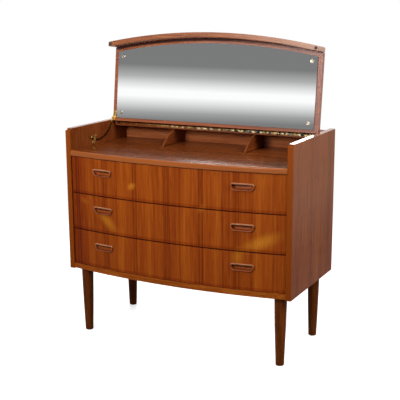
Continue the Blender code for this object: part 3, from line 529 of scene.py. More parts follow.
# Drawer fronts
# Three swelled slabs faced with one run of teak veneer, laid as book-matched leaves that carry on from
# drawer to drawer. A pair of mortises in each takes the finger pulls.
FRONT_T = 0.020
FRONT_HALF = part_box("drawer_top_front")[1].x
FRONT_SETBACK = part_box("drawer_top_front")[0].y - FRONT_Y
DRAWER_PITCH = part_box("drawer_top_front")[0].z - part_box("drawer_middle_front")[0].z
FRONT_EASE = 0.0010
FRONT_TONES = ("#83370B", "#984610", "#AE5A17")
LEAF_WIDTH = 0.1325
LEAF_JOINT_X = -0.270
LEAF_STREAKS = ((0.0, "#F4ECE6"), (0.022, "#EADFD8"), (0.036, "#A88A7C"), (0.050, "#EFE5DE"),
                (0.085, "#D9C8BD"), (0.12, "#FFFFFF"), (0.36, "#F1E8E2"), (0.40, "#D8C8BE"),
                (0.44, "#FFFFFF"), (0.70, "#F3EBE5"), (0.93, "#F6EFEA"), (0.955, "#9C7C6C"),
                (0.975, "#EFE5DE"), (1.0, "#DCCCC2"))
LEAF_SWAY = 0.0015
SWAY_SCALE = (6.0, 0.0, 5.0)
LEAF_SHIFT = 0.004
FRONT_STRIPE = 0.0065
FRONT_PORES = "#D2BEB2"
FLAME_REACH = 1.2
FLICKER_SCALE = (260.0, 0.0, 40.0)
FLAME_COLOUR = "#D08424"
# Golden flame figure in the veneer: middle x, middle z, half length, half width, tilt, strength
FLAMES = ((0.345, 0.447, 0.085, 0.028, 24.0, 0.75), (-0.262, 0.458, 0.062, 0.024, -38.0, 0.6),
          (-0.150, 0.600, 0.022, 0.014, 30.0, 0.8), (0.262, 0.390, 0.040, 0.026, 80.0, 0.5),
          (0.130, 0.548, 0.024, 0.014, 40.0, 0.35), (-0.372, 0.522, 0.026, 0.014, -20.0, 0.4))
END_LEAF_X = (-0.28, -0.42)
END_LEAF_TINT = "#DCC2BA"
FOOT_STRIP = (0.0125, 0.0110)
FOOT_STRIP_TINT = "#E9D8D0"
GAP_Z = (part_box("drawer_middle_front")[0].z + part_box("drawer_bottom_front")[1].z) / 2
# Painted shade along the gaps between the drawer fronts: how near a gap it reaches, and its tint
GAP_SHADE_SPAN = (0.0025, 0.0016)
GAP_PAINTED_SHADE = "#7A5C4C"
PLAIN_END_X = (0.32, 0.36)
PLAIN_END_SHARE = 0.25


def front_veneer():
    """Book-matched teak veneer.

    The distance across the front is folded back and forth at every leaf's edge, so that each leaf mirrors
    its neighbour. Dark streaks follow the leaf's edges, and soft ellipses hold the golden flame figure.
    """
    material, tree, shader, place = new_material("teak_veneer_book_matched")
    x, _, z = add(tree, "SeparateXYZ", {0: place}).node.outputs
    slow = add(tree, "Mapping", {"Vector": place, "Scale": SWAY_SCALE})
    sway = add(tree, "TexNoise", {"Vector": slow, "Scale": 1.0, "Detail": 1.0})
    sway = add(tree, "MapRange", {"Value": sway, "To Min": -LEAF_SWAY, "To Max": LEAF_SWAY})
    from_joint = add(tree, "Math", {0: x, 1: LEAF_JOINT_X}, operation='SUBTRACT')
    swayed = add(tree, "Math", {0: from_joint, 1: sway}, operation='ADD')
    folded = add(tree, "Math", {0: swayed, 1: LEAF_WIDTH}, operation='PINGPONG')
    share = add(tree, "Math", {0: folded, 1: LEAF_WIDTH}, operation='DIVIDE')
    number = add(tree, "Math", {0: from_joint, 1: LEAF_WIDTH}, operation='DIVIDE')
    number = add(tree, "Math", {0: number}, operation='FLOOR')
    shift = add(tree, "Math", {0: number, 1: LEAF_SHIFT}, operation='MULTIPLY')
    on_leaf = add(tree, "CombineXYZ", {0: folded, 1: shift, 2: z})
    colour, open_pores = wood_figure(tree, on_leaf, "z", FRONT_STRIPE, FRONT_TONES, FRONT_PORES)
    streaks = add(tree, "ValToRGB", {"Fac": share}, LEAF_STREAKS)
    plain_end = add(tree, "MapRange", {"Value": x, "From Min": PLAIN_END_X[0], "From Max": PLAIN_END_X[1],
                                       "To Min": 1.0, "To Max": PLAIN_END_SHARE})
    colour = add(tree, "Mix", {0: plain_end, 6: colour, 7: streaks}, out=2, data_type='RGBA',
                 blend_type='MULTIPLY')
    flat = add(tree, "CombineXYZ", {0: x, 2: z})
    flicker = add(tree, "Mapping", {"Vector": flat, "Scale": FLICKER_SCALE})
    flicker = add(tree, "TexNoise", {"Vector": flicker, "Scale": 1.0, "Detail": 3.0})
    flicker = add(tree, "MapRange", {"Value": flicker, "From Min": 0.3, "From Max": 0.65, "To Min": 0.45})
    for flame_x, flame_z, half_length, half_width, tilt, strength in FLAMES:
        near = add(tree, "Mapping", {"Vector": flat, "Location": (flame_x, 0.0, flame_z),
                                     "Rotation": (0.0, -math.radians(tilt), 0.0),
                                     "Scale": (half_length, 1.0, half_width)}, vector_type='TEXTURE')
        far = add(tree, "VectorMath", {0: near}, out="Value", operation='LENGTH')
        lively = add(tree, "Math", {0: flicker, 1: strength}, operation='MULTIPLY')
        colour = shaded(tree, colour, far, (FLAME_REACH, 0.0), FLAME_COLOUR, lively, ease='SMOOTHSTEP')
    colour = shaded(tree, colour, x, END_LEAF_X, END_LEAF_TINT, blend='MULTIPLY', ease='SMOOTHSTEP')
    above = add(tree, "Math", {0: z, 1: DRAWERS_Z}, operation='SUBTRACT')
    above = add(tree, "Math", {0: above, 1: DRAWER_PITCH}, operation='FLOORED_MODULO')
    colour = shaded(tree, colour, above, FOOT_STRIP, FOOT_STRIP_TINT, blend='MULTIPLY')
    # Painted shade darkens each front close to the gaps between the drawers
    near_gap = add(tree, "Math", {0: z, 1: GAP_Z}, operation='SUBTRACT')
    near_gap = add(tree, "Math", {0: near_gap, 1: DRAWER_PITCH / 2}, operation='PINGPONG')
    colour = shaded(tree, colour, near_gap, GAP_SHADE_SPAN, GAP_PAINTED_SHADE, blend='MULTIPLY')
    oil_finish(tree, shader, colour, open_pores, 0.42, 0.05)
    return material


FRONT_TEAK = front_veneer()
front_outline = np.concatenate([bow(FRONT_HALF, FRONT_SETBACK),
                                bow(FRONT_HALF, FRONT_SETBACK + FRONT_T)[::-1]])
front_outline = soften(front_outline, 2 * FRONT_EASE)
drawer_fronts = {}
for drawer in DRAWERS:
    front_low, front_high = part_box("drawer_" + drawer + "_front")
    slab = board(front_outline, front_low.z, front_high.z, FRONT_EASE)
    drawer_fronts[drawer] = piece("bowed_front_" + drawer, slab, "drawer_" + drawer, "teak_front",
                                  FRONT_TEAK, "drawer_" + drawer + "_front")

# Finger pulls
# Each pull is a small teak cup with a raised, rounded rim, shaped in one piece and glued into its mortise.
# The cup is deepest under the upper lip, where the fingers go, and a little shallower at the foot.
PULL_WIDTH = 0.0855
PULL_HEIGHT = 0.0265
PULL_TAPER = 0.0105
PULL_TOP_R = 0.009
PULL_FOOT_R = 0.015
PULL_RIM = 0.0063
MOUTH_DROP = 0.0016
PULL_PROUD = 0.008
PULL_EDGE_H = 0.004
PULL_CUP_DEPTH = 0.011
PULL_FLOOR_T = 0.0025
PULL_SHOULDER = 0.003
PULL_DROP = {"bottom": 0.054, "middle": 0.0515, "top": 0.049}
SEAT = 0.0003
PULL_X = 0.279
LEAST_FILLET = 0.25
CUP_FLOOR_SHARE = 0.28
CUP_FOOT_SHARE = 0.85
MORTISE_DEPTH = 0.7 * FRONT_T
PULL_STRIPE = 0.005
PULL_TONES = ("#A66C48", "#B67A56", "#C48A68")
# Painted highlight on the rim's crown, painted light on the cup's floor, and painted shadow under the lip,
# where the cup is deepest, from the crown of the rim down to the floor
PULL_LIGHT_AND_SHADE = ((0.0, "#FFFFFF"), (0.10, "#FFFFFF"), (0.24, "#D0B898"), (0.44, "#C0A080"), (0.55, "#F0E0BC"),
             (0.88, "#FFEA9C"), (0.955, "#FFEA9C"), (0.97, "#74746C"), (1.0, "#6A6A62"))
# Painted highlight that brightens a pull from its foot up to its upper lip
PULL_TOP_HIGHLIGHT = ((0.0, "#D0AA98"), (0.72, "#D0AA98"), (0.84, "#FFFFFF"), (1.0, "#FFFFFF"))
PULL_SPACING = DRAWER_PITCH + PULL_DROP["bottom"] - PULL_DROP["middle"]
LOWEST_PULL_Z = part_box("drawer_bottom_front")[1].z - PULL_DROP["bottom"]


def pull_outline(drawn_in):
    """Outline of the pull, drawn in by a distance: straight top, ends that lean in, filleted corners."""
    slope = math.atan2(PULL_TAPER, PULL_HEIGHT)
    lost_to_fillet = PULL_TOP_R * (1 / math.tan((math.pi / 2 - slope) / 2) - 1)
    sharp_half = PULL_WIDTH / 2 + lost_to_fillet
    top = PULL_HEIGHT / 2 - drawn_in
    head_half = sharp_half - drawn_in * (1 / math.cos(slope) + math.tan(slope))
    foot_half = sharp_half - PULL_TAPER - drawn_in * (1 / math.cos(slope) - math.tan(slope))
    head_r = max(PULL_TOP_R - drawn_in, PULL_TOP_R * LEAST_FILLET)
    foot_r = max(PULL_FOOT_R - drawn_in, PULL_FOOT_R * LEAST_FILLET)
    corners = [(head_half, top), (-head_half, top), (-foot_half, -top), (foot_half, -top)]
    return soften(corners, np.array([head_r, head_r, foot_r, foot_r]), 12)


def pull_ring(drawn_in, forward):
    """The pull's outline at a distance in front of the drawer front, in the pull's own frame."""
    ring = pull_outline(drawn_in)
    return np.column_stack([ring[:, 0], np.full(len(ring), -forward), ring[:, 1]])


def pull_shape():
    """The pull, lofted from its back over the rim and down into the cup.

    The rim is half a wave across its width, and wider above the mouth than below it. The cup's wall is a
    quarter ellipse from the rim to the floor, and its depth fades evenly from the upper lip to the foot.
    """
    back = -PULL_CUP_DEPTH - PULL_FLOOR_T
    rings = [pull_ring(PULL_SHOULDER, back), pull_ring(PULL_SHOULDER, SEAT), pull_ring(0, SEAT)]
    for angle in np.linspace(0, math.pi, 13):
        crown = (PULL_PROUD - PULL_EDGE_H) * math.sin(angle) + PULL_EDGE_H * (1 + math.cos(angle)) / 2
        across = (1 - math.cos(angle)) / 2
        rings.append(pull_ring(PULL_RIM * across, crown) - (0, 0, MOUTH_DROP * across))
    mouth = rings[-1]
    top = mouth[:, 2].max()
    for share in np.linspace(0, 1, 11)[1:]:
        ring = mouth * (1 - CUP_FLOOR_SHARE * share)
        fade = CUP_FOOT_SHARE + (1 - CUP_FOOT_SHARE) * (ring[:, 2] + top) / (2 * top)
        ring[:, 1] = PULL_CUP_DEPTH * math.sqrt(1 - (1 - share) ** 2) * fade
        rings.append(ring)
    return loft(rings)


def turn(shape, axis, angle):
    """A shape turned about an axis through the origin."""
    points, faces = shape
    return points @ np.array(Matrix.Rotation(angle, 3, axis)).T, faces


def cut(obj, shapes):
    """Take the solids of some shapes out of a piece."""
    tools = [solid("tool", shape) for shape in shapes]
    for tool in tools:
        modifier = obj.modifiers.new(tool.name, 'BOOLEAN')
        modifier.operation = 'DIFFERENCE'
        modifier.solver = 'EXACT'
        modifier.object = tool
    graph = bpy.context.evaluated_depsgraph_get()
    mesh = bpy.data.meshes.new_from_object(obj.evaluated_get(graph))
    obj.modifiers.clear()
    obj.data = mesh
    mesh.shade_smooth()
    mesh.set_sharp_from_angle(angle=SHARP)
    for tool in tools:
        bpy.data.objects.remove(tool, do_unlink=True)


def pull_painted_light(tree, place, colour):
    """Painted highlights on the rim, painted light on the cup's floor and painted shadow under its lip.

    The shading follows the depth below the swell, and the upper highlight the height in the pull.
    """
    depth = add(tree, "MapRange", {"Value": below_swell(tree, place, BOW_CENTRE_Y),
                                   "From Min": FRONT_SETBACK - PULL_PROUD,
                                   "From Max": FRONT_SETBACK + PULL_CUP_DEPTH})
    height = add(tree, "SeparateXYZ", {0: place}, out="Z")
    height = add(tree, "Math", {0: height, 1: LOWEST_PULL_Z - PULL_HEIGHT / 2}, operation='SUBTRACT')
    height = add(tree, "Math", {0: height, 1: PULL_SPACING}, operation='FLOORED_MODULO')
    height = add(tree, "Math", {0: height, 1: PULL_HEIGHT}, operation='DIVIDE')
    for value, ramp in ((depth, PULL_LIGHT_AND_SHADE), (height, PULL_TOP_HIGHLIGHT)):
        tint = add(tree, "ValToRGB", {"Fac": value}, ramp)
        colour = add(tree, "Mix", {0: 1.0, 6: colour, 7: tint}, out=2, data_type='RGBA',
                     blend_type='MULTIPLY')
    return colour


PULL_TEAK = wood("teak_shaped_pull", "x", PULL_STRIPE, PULL_TONES, 0.3, 0.06, pull_painted_light)
pull_body = pull_shape()
mortise_body = loft([pull_ring(PULL_SHOULDER - SEAT, forward) for forward in (-MORTISE_DEPTH, FRONT_T)])
for drawer in DRAWERS:
    front_low, front_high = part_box("drawer_" + drawer + "_front")
    mortises = []
    for side, sign in (("left", -1), ("right", 1)):
        pull_x = sign * PULL_X
        swing = math.asin(pull_x / (BOW_R - FRONT_SETBACK))
        spot = (pull_x, swell_y(pull_x, FRONT_SETBACK), front_high.z - PULL_DROP[drawer])
        mortises.append(moved(turn(mortise_body, 'Z', swing), spot))
        pull = moved(turn(pull_body, 'Z', swing), spot)
        piece("finger_pull_" + drawer + "_" + side, pull, "drawer_" + drawer, "teak_solid", PULL_TEAK,
              "drawer_" + drawer + "_pull_" + side)
    cut(drawer_fronts[drawer], mortises)

# Drawer boxes
# Oak sides and back round a plywood bottom that slides in grooves. They keep the frame's shapes.
OAK_CROSS = wood("oak_planed_crosswise", "x", OAK_STRIPE, OAK_TONES, 0.55, 0.3)
for drawer in DRAWERS:
    for side in ("left", "right"):
        dress("drawer_" + drawer + "_side_" + side, OAK)
    dress("drawer_" + drawer + "_back", OAK_CROSS)
    dress("drawer_" + drawer + "_panel", PLY)

# Piano hinge
# A long brass hinge of two leaves rolled round one pin. One leaf is screwed to the shelf's front edge, the
# other to the rear edge of the lid; the brass has dulled in patches.
pin_low, pin_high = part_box("hinge_pin")
PIN_Y = (pin_low.y + pin_high.y) / 2
PIN_Z = (pin_low.z + pin_high.z) / 2
HINGE_HALF = pin_high.x
PIN_R = (pin_high.z - pin_low.z) / 2
HINGE_GAP = 0.003
KNUCKLES = 17
KNUCKLE_GAP = 0.0004
KNUCKLE_R = 0.0025
KNUCKLE_EASE = 0.0004
LEAF_T = 0.001
LEAF_EASE = 0.0003
SHELF_LEAF_H = 0.0108
LID_LEAF_H = 0.0137
HINGE_SCREWS = 14
SCREW_HEAD_D = 0.0050
SCREW_HEAD_H = 0.0007
SCREW_SLOT = 0.0009
SCREW_LEVEL = 0.0066
HEAD_WALL = 0.3
HEAD_FOOT = 0.98
HINGE_PAINTED_REFLECTION = "#B4763A"
HINGE_REFLECTION_X = (0.12, -0.40)
KNUCKLE_PAINTED_SHADE = "#5A4A38"
LID_OPEN = math.radians(max(next(j for j in frame["joints"] if j["name"] == "lid_hinge")["range_deg"]))
BRASS_TONES = ("#12181A", "#5E737C", "#9A7430", "#E2C070", "#FFF4D8")
PIN_EASE = PIN_R / 5


def brass(name, tarnish, roughness, tones=BRASS_TONES, wear=None):
    """Rolled brass sheet, warm yellow, with patches of brown and blue-green tarnish and faint waves.

    Wear is a function that changes the plain colour.
    """
    material, tree, shader, place = new_material(name)
    patch = add(tree, "TexNoise", {"Vector": place, "Scale": 75.0, "Detail": 3.0, "Roughness": 0.6})
    levels = (0.24 + 0.12 * tarnish, 0.28 + 0.14 * tarnish, 0.31 + 0.16 * tarnish, 0.56, 0.64)
    colour = add(tree, "ValToRGB", {"Fac": patch}, list(zip(levels, tones)))
    if wear:
        colour = wear(tree, place, colour)
    wave = add(tree, "TexNoise", {"Vector": place, "Scale": 210.0, "Detail": 2.0})
    bump = add(tree, "Bump", {"Height": wave, "Strength": 0.5 * tarnish, "Distance": 0.0006})
    rough = add(tree, "MapRange", {"Value": patch, "From Min": 0.3, "From Max": 0.7,
                                   "To Min": roughness + 0.2, "To Max": roughness})
    fill(tree, shader, {"Base Color": colour, "Roughness": rough, "Normal": bump, "Metallic": 1.0})
    return material


def joined(*shapes):
    """Several closed surfaces as one."""
    starts = np.cumsum([0] + [len(points) for points, faces in shapes])
    faces = [[i + start for i in face] for (points, part), start in zip(shapes, starts) for face in part]
    return np.concatenate([points for points, part in shapes]), faces


def slotted_head(diameter, height, slot):
    """A low domed screw head on the Z axis with a sawn slot along X: two halves of a dome, lofted.

    Each half's rings run round from one end of the slot's wall to the other, and shrink up to the crown.
    """
    radius = diameter / 2
    rise = np.linspace(0, math.radians(75), 6)
    half = slot / 2
    shapes = [turned(np.array([(radius * HEAD_FOOT, 0), (radius * HEAD_FOOT, height * HEAD_WALL)]), 24)]
    for sign in (1, -1):
        rings = []
        for tilt in rise:
            reach = radius * math.cos(tilt)
            start = math.asin(min(half / reach, 0.95))
            ring = arc((0, 0), reach, start, math.pi - start, 16) * (1, sign)
            ring = ring[::sign]
            level = height * (HEAD_WALL + (1 - HEAD_WALL) * math.sin(tilt))
            rings.append(np.column_stack([ring, np.full(len(ring), level)]))
        shapes.append(loft(rings))
    return joined(*shapes)


def lying(shape):
    """A shape on the Z axis laid along the X axis."""
    return turn(shape, 'Y', math.pi / 2)


def knuckle_row(first):
    """Every second rolled knuckle of the hinge from the first on, as eased cylinders on the X axis."""
    length = 2 * HINGE_HALF / KNUCKLES
    half = (length - KNUCKLE_GAP) / 2
    round_end = arc((KNUCKLE_R - KNUCKLE_EASE, half - KNUCKLE_EASE), KNUCKLE_EASE, 0, math.pi / 2, 3)
    profile = np.concatenate([(round_end * (1, -1))[::-1], round_end])
    knuckle = lying(turned(profile, 20))
    middles = -HINGE_HALF + (np.arange(first, KNUCKLES, 2) + 0.5) * length
    return [moved(knuckle, (middle, 0, 0)) for middle in middles]


def leaf(first, height):
    """A hinge leaf with its knuckles, as it hangs down in front of the axis, seen from the back."""
    length = 2 * HINGE_HALF / KNUCKLES
    near = -HINGE_GAP + LEAF_T
    neck = -KNUCKLE_R - LEAF_EASE
    plate = rectangle(-height, -HINGE_HALF, neck, HINGE_HALF, 2 * LEAF_EASE)
    shapes = [board(plate, near - LEAF_T, near, LEAF_EASE, "zx")] + knuckle_row(first)
    for number in range(first, KNUCKLES, 2):
        left = -HINGE_HALF + number * length + KNUCKLE_GAP / 2
        right = left + length - KNUCKLE_GAP
        tab = np.array([(neck - LEAF_T, left), (0, left), (0, right), (neck - LEAF_T, right)])
        shapes.append(board(tab, near - LEAF_T, near, LEAF_EASE, "zx"))
    return joined(*shapes)


def on_lid(shape):
    """A shape drawn round the hinge axis as when the lid is shut, swung up with the open lid."""
    return moved(turn(shape, 'X', -LID_OPEN), (0, PIN_Y, PIN_Z))


def hinge_reflection_and_shade(tree, place, colour):
    """Painted brown reflection on the left, flecked more to the right, and painted shade round the knuckles.
    """
    x, _, z = add(tree, "SeparateXYZ", {0: place}).node.outputs
    # Painted reflection of brown wood over the left of the hinge
    colour = shaded(tree, colour, x, HINGE_REFLECTION_X, HINGE_PAINTED_REFLECTION)
    # Painted shade on the upper half of the knuckles
    return shaded(tree, colour, z, (PIN_Z - KNUCKLE_R, PIN_Z), KNUCKLE_PAINTED_SHADE, blend='MULTIPLY')


HINGE_BRASS = brass("brass_hinge_tarnish_and_painted_light", 1.25, 0.2, wear=hinge_reflection_and_shade)
SCREW_BRASS = brass("brass_screw_heads", 0.0, 0.15)
hinge_screw = turn(slotted_head(SCREW_HEAD_D, SCREW_HEAD_H, SCREW_SLOT), 'X', math.pi / 2)
screw_xs = np.linspace(-HINGE_HALF, HINGE_HALF, 2 * HINGE_SCREWS + 1)[1::2]
shelf_leaf = moved(turn(leaf(0, SHELF_LEAF_H), 'Z', math.pi), (0, PIN_Y, PIN_Z))
screw_row = joined(*[moved(hinge_screw, (x, HINGE_GAP - LEAF_T, -SCREW_LEVEL)) for x in screw_xs])
piece("piano_hinge_shelf_leaf", shelf_leaf, "cabinet", "brass", HINGE_BRASS, "hinge_shelf_leaf")
piece("piano_hinge_screws", moved(screw_row, (0, PIN_Y, PIN_Z)), "cabinet", "brass", SCREW_BRASS)
piece("piano_hinge_lid_leaf", on_lid(leaf(1, LID_LEAF_H)), "lid", "brass", HINGE_BRASS, "hinge_lid_leaf")
pin_profile = [(PIN_R - PIN_EASE, -HINGE_HALF), (PIN_R, PIN_EASE - HINGE_HALF),
               (PIN_R, HINGE_HALF - PIN_EASE), (PIN_R - PIN_EASE, HINGE_HALF)]
pin = lying(turned(pin_profile, 20))
piece("piano_hinge_pin", moved(pin, (0, PIN_Y, PIN_Z)), "cabinet", "brass", HINGE_BRASS, "hinge_pin")

# Lid
# A teak-veneered board whose front follows the swell. Its underside carries the mirror and shows as a frame
# round it while the lid is open.
LID_SIDE_GAP = 0.001
LID_HALF = INNER_HALF - LID_SIDE_GAP
LID_T = 0.016
LID_TOP = shelf_high.z - PIN_Z
LID_UNDER = LID_TOP - LID_T
APRON_SETBACK = 0.0015
APRON_T = 0.018
APRON_BACK = APRON_SETBACK + APRON_T
LID_TONES = ("#86421E", "#A25832", "#B46E46")
LID_RIGHT_TINT = "#D4CCC8"
# Painted shadow of the apron on the lid's underside: its depth, tint, and share at the right end
HOOD_SHADOW_DEPTH = (0.031, 0.027)
HOOD_PAINTED_SHADOW = "#5E3C34"
HOOD_SHADOW_RIGHT_SHARE = 0.35


def lid_bow(half, setback):
    """The swell of the front as seen from the hinge axis."""
    return bow(half, setback) - (0, PIN_Y)


def lid_tint_and_painted_shadow(tree, place, colour):
    """Darker to the right, with a painted shadow of the apron on the underside close to it.

    The depth behind the swell is taken as when the lid is shut.
    """
    x = add(tree, "SeparateXYZ", {0: place}, out="X")
    colour = shaded(tree, colour, x, (0.0, LID_HALF), LID_RIGHT_TINT, blend='MULTIPLY')
    # Painted shadow of the apron on the underside close to it, weaker towards the right
    shut = add(tree, "Mapping", {"Vector": place, "Location": (0.0, PIN_Y, PIN_Z),
                                 "Rotation": (-LID_OPEN, 0.0, 0.0)}, vector_type='TEXTURE')
    share = add(tree, "MapRange", {"Value": x, "From Max": LID_HALF, "To Min": 1.0,
                                   "To Max": HOOD_SHADOW_RIGHT_SHARE})
    height = add(tree, "SeparateXYZ", {0: shut}, out="Z")
    under = add(tree, "MapRange", {"Value": height, "From Min": LID_UNDER + 2 * BOARD_EASE,
                                   "From Max": LID_UNDER + BOARD_EASE, "To Max": share})
    depth = below_swell(tree, shut, BOW_CENTRE_Y - PIN_Y)
    return shaded(tree, colour, depth, HOOD_SHADOW_DEPTH, HOOD_PAINTED_SHADOW, under, 'MULTIPLY')


LID_TEAK = wood("teak_veneer_lid", "x", STRIPE, LID_TONES, 0.3, 0.5, lid_tint_and_painted_shadow)
lid_outline = np.concatenate([lid_bow(LID_HALF, APRON_BACK + SEAT),
                              [(LID_HALF, -HINGE_GAP), (-LID_HALF, -HINGE_GAP)]])
lid_shape = board(soften(lid_outline, 2 * BOARD_EASE), LID_UNDER, LID_TOP, BOARD_EASE)
piece("lid_board", on_lid(lid_shape), "lid", "teak_side", LID_TEAK, "lid_panel")

# Apron
# A bowed strip of solid teak glued to the front of the lid. It closes the front of the compartment when the
# lid is shut, and stands out as a hood over the mirror when it is open.
APRON_LIFT = 0.0025
APRON_EASE = 0.0018
SHUT_FLOOR = FLOOR_Z - PIN_Z
APRON_FOOT = SHUT_FLOOR + APRON_LIFT
APRON_TONES = ("#7E4220", "#98562E", "#AE6C42")
# Painted sheen towards the right end, and where it comes in
APRON_PAINTED_SHEEN = "#BC9480"
APRON_SHEEN_X = (0.05, 0.60)


def apron_painted_sheen(tree, place, colour):
    """A painted sheen, paler towards its right end."""
    return shaded(tree, colour, add(tree, "SeparateXYZ", {0: place}, out="X"), APRON_SHEEN_X, APRON_PAINTED_SHEEN)


APRON_TEAK = wood("teak_solid_apron", "x", STRIPE, APRON_TONES, 0.36, 0.3, apron_painted_sheen)
apron_outline = np.concatenate([lid_bow(LID_HALF, APRON_SETBACK), lid_bow(LID_HALF, APRON_BACK)[::-1]])
apron_shape = board(soften(apron_outline, 2 * APRON_EASE), APRON_FOOT, LID_TOP, APRON_EASE)
piece("lid_apron_bowed", on_lid(apron_shape), "lid", "teak_solid", APRON_TEAK, "lid_apron")

# Mirror
# A sheet of silvered glass cut to the lid's shape and held by four screwed caps, with ground edges.
MIRROR_HALF = 0.411
MIRROR_T = 0.004
MIRROR_FOOT = 0.0158
MIRROR_TOP_SETBACK = 0.0376
GLASS_TINT = "#FCFDFD"


def silvered_glass():
    """Float glass silvered on the back: a clear reflection with the faintest cool tint."""
    material, tree, shader, place = new_material("silvered_glass")
    fill(tree, shader, {"Base Color": linear(GLASS_TINT), "Metallic": 1.0, "Roughness": 0.0})
    return material


glass_outline = np.concatenate([lid_bow(MIRROR_HALF, MIRROR_TOP_SETBACK),
                                [(MIRROR_HALF, -MIRROR_FOOT), (-MIRROR_HALF, -MIRROR_FOOT)]])
GLASS_TOP = LID_UNDER - SEAT
GLASS_LOW = GLASS_TOP - MIRROR_T
glass = loft([np.column_stack([glass_outline, np.full(len(glass_outline), level)])
              for level in (GLASS_LOW, GLASS_TOP)])
piece("mirror_plate", on_lid(glass), "lid", "mirror_glass", silvered_glass(), "mirror")

# Mirror caps
# Nickelled cup washers with a slotted brass screw in the middle; they clamp the glass to the lid.
CAP_D = 0.014
CAP_INSET_SIDE = 0.021
CAP_INSET_FOOT = 0.0215
CAP_INSET_HEAD = 0.0212
CAP_WALL = 0.001
CAP_SHOULDER_R = 0.0024
CAP_LIP = 0.0032
CAP_DISH = 0.0022
CAP_SCREW_D = 0.0068
CAP_SCREW_H = 0.0018
CAP_SCREW_SLOT = 0.0011


def cap_shape():
    """A cup washer: a round-shouldered ring with a dished middle, and a screw head seated in the dish."""
    outer = CAP_D / 2
    seat = CAP_SCREW_D / 2 + SEAT
    shoulder = arc((outer - CAP_SHOULDER_R, CAP_WALL), CAP_SHOULDER_R, 0, math.pi / 2, 6)
    profile = np.concatenate([[(outer * HEAD_FOOT, 0)], shoulder, [(seat, CAP_LIP), (seat * 0.9, CAP_DISH)]])
    head = slotted_head(CAP_SCREW_D, CAP_SCREW_H, CAP_SCREW_SLOT)
    return turned(profile, 40), moved(head, (0, 0, CAP_DISH))


def nickel():
    """Nickel plate with a soft shine, a little clouded."""
    material, tree, shader, place = new_material("nickel_plate")
    cloud = add(tree, "TexNoise", {"Vector": place, "Scale": 400.0, "Detail": 2.0})
    colour = add(tree, "ValToRGB", {"Fac": cloud}, ramp=[(0.3, "#8E8A82"), (0.7, "#BCB8AE")])
    rough = add(tree, "MapRange", {"Value": cloud, "To Min": 0.2, "To Max": 0.4})
    fill(tree, shader, {"Base Color": colour, "Roughness": rough, "Metallic": 1.0})
    return material


NICKEL = nickel()
FITTING_BRASS = brass("brass_polished", 0.35, 0.2)
cap_x = MIRROR_HALF - CAP_INSET_SIDE
cap_foot = -MIRROR_FOOT - CAP_INSET_FOOT
cap_head = swell_y(cap_x, MIRROR_TOP_SETBACK) - PIN_Y + CAP_INSET_HEAD
for level, cap_y in (("lower", cap_foot), ("upper", cap_head)):
    for side, x in (("left", -cap_x), ("right", cap_x)):
        spot = (x, cap_y, GLASS_LOW - SEAT)
        washer, head = [moved(turn(shape, 'X', math.pi), spot) for shape in cap_shape()]
        piece("cup_washer_" + level + "_" + side, on_lid(washer), "lid", "brass", NICKEL,
              "mirror_cap_" + level + "_" + side)
        piece("cap_screw_" + level + "_" + side, on_lid(head), "lid", "brass", FITTING_BRASS)

# Buffers
# Two rubber studs pressed into the lower edge of the apron; they soften the lid's fall on the top board.
BUFFER_D = 0.011
BUFFER_INSET = 0.0095
BUFFER_PLAY = 0.0004
BUFFER_R = 0.0009


def rubber():
    """Moulded black rubber: matt, greyed by dust, finely pitted."""
    material, tree, shader, place = new_material("rubber_moulded")
    grit = add(tree, "TexNoise", {"Vector": place, "Scale": 900.0, "Detail": 2.0})
    colour = add(tree, "ValToRGB", {"Fac": grit}, ramp=[(0.3, "#0C0C0D"), (0.75, "#232224")])
    bump = add(tree, "Bump", {"Height": grit, "Strength": 0.3, "Distance": 0.0002})
    fill(tree, shader, {"Base Color": colour, "Normal": bump, "Roughness": 0.55})
    return material


RUBBER = rubber()
buffer_low = SHUT_FLOOR + BUFFER_PLAY
buffer_high = APRON_FOOT - SEAT
stud_foot = arc((BUFFER_D / 2 - BUFFER_R, buffer_low + BUFFER_R), BUFFER_R, -math.pi / 2, 0, 6)
stud = turned(np.concatenate([stud_foot, [(BUFFER_D / 2, buffer_high)]]), 32)
for side, x in (("left", BUFFER_INSET - LID_HALF), ("right", LID_HALF - BUFFER_INSET)):
    stud_y = swell_y(x, (APRON_SETBACK + APRON_BACK) / 2) - PIN_Y
    piece("rubber_stud_" + side, on_lid(moved(stud, (x, stud_y, 0))), "lid", "rubber", RUBBER,
          "lid_buffer_" + side)

# Lid stay
# A curved brass arm pivots on a lug under the lid and runs between the plates of a friction guide on the
# left side, which holds the lid up. A small knob at its tail keeps it from slipping out.
STAY_U = 0.0155
STAY_W = 0.0225
GUIDE_FORWARD = 0.1518
GUIDE_BELOW = 0.0508
GUIDE_TILT = math.radians(27)
GUIDE_LENGTH = 0.037
GUIDE_WIDTH = 0.009
GUIDE_BASE_T = 0.0012
GUIDE_PLATE_T = 0.002
GUIDE_SCREW_SPAN = 0.024
GUIDE_HEAD_D = 0.0068
GUIDE_HEAD_H = 0.0018
PLAY = 0.0005
ARM_T = 0.002
ARM_WIDTH = 0.007
ARM_CURVE_R = 0.106
ARM_OVERRUN = 0.026
KNOB_D = 0.008
KNOB_H = 0.005
KNOB_FOOT_D = 0.0055
KNOB_SQUASH = 0.6
RIVET_HEAD_D = 0.0075
RIVET_CROWN_D = 0.005
RIVET_HEAD_H = 0.0010
BRACKET_WIDTH = 0.010
BRACKET_START = 0.006
BRACKET_LENGTH = 0.037
BRACKET_T = 0.0015
BRACKET_SCREW = (0.0042, 0.0009, 0.0007)
BRACKET_SCREW_INSET = 0.006
BRACKET_SCREW_X = 0.006
SHANK_R = 0.0018
PLATE_EASE = 0.0004
ARM_TONES = ("#120E09", "#2E2318", "#4A3620", "#7A5C34", "#B09058")
ARM_EYE = 0.020
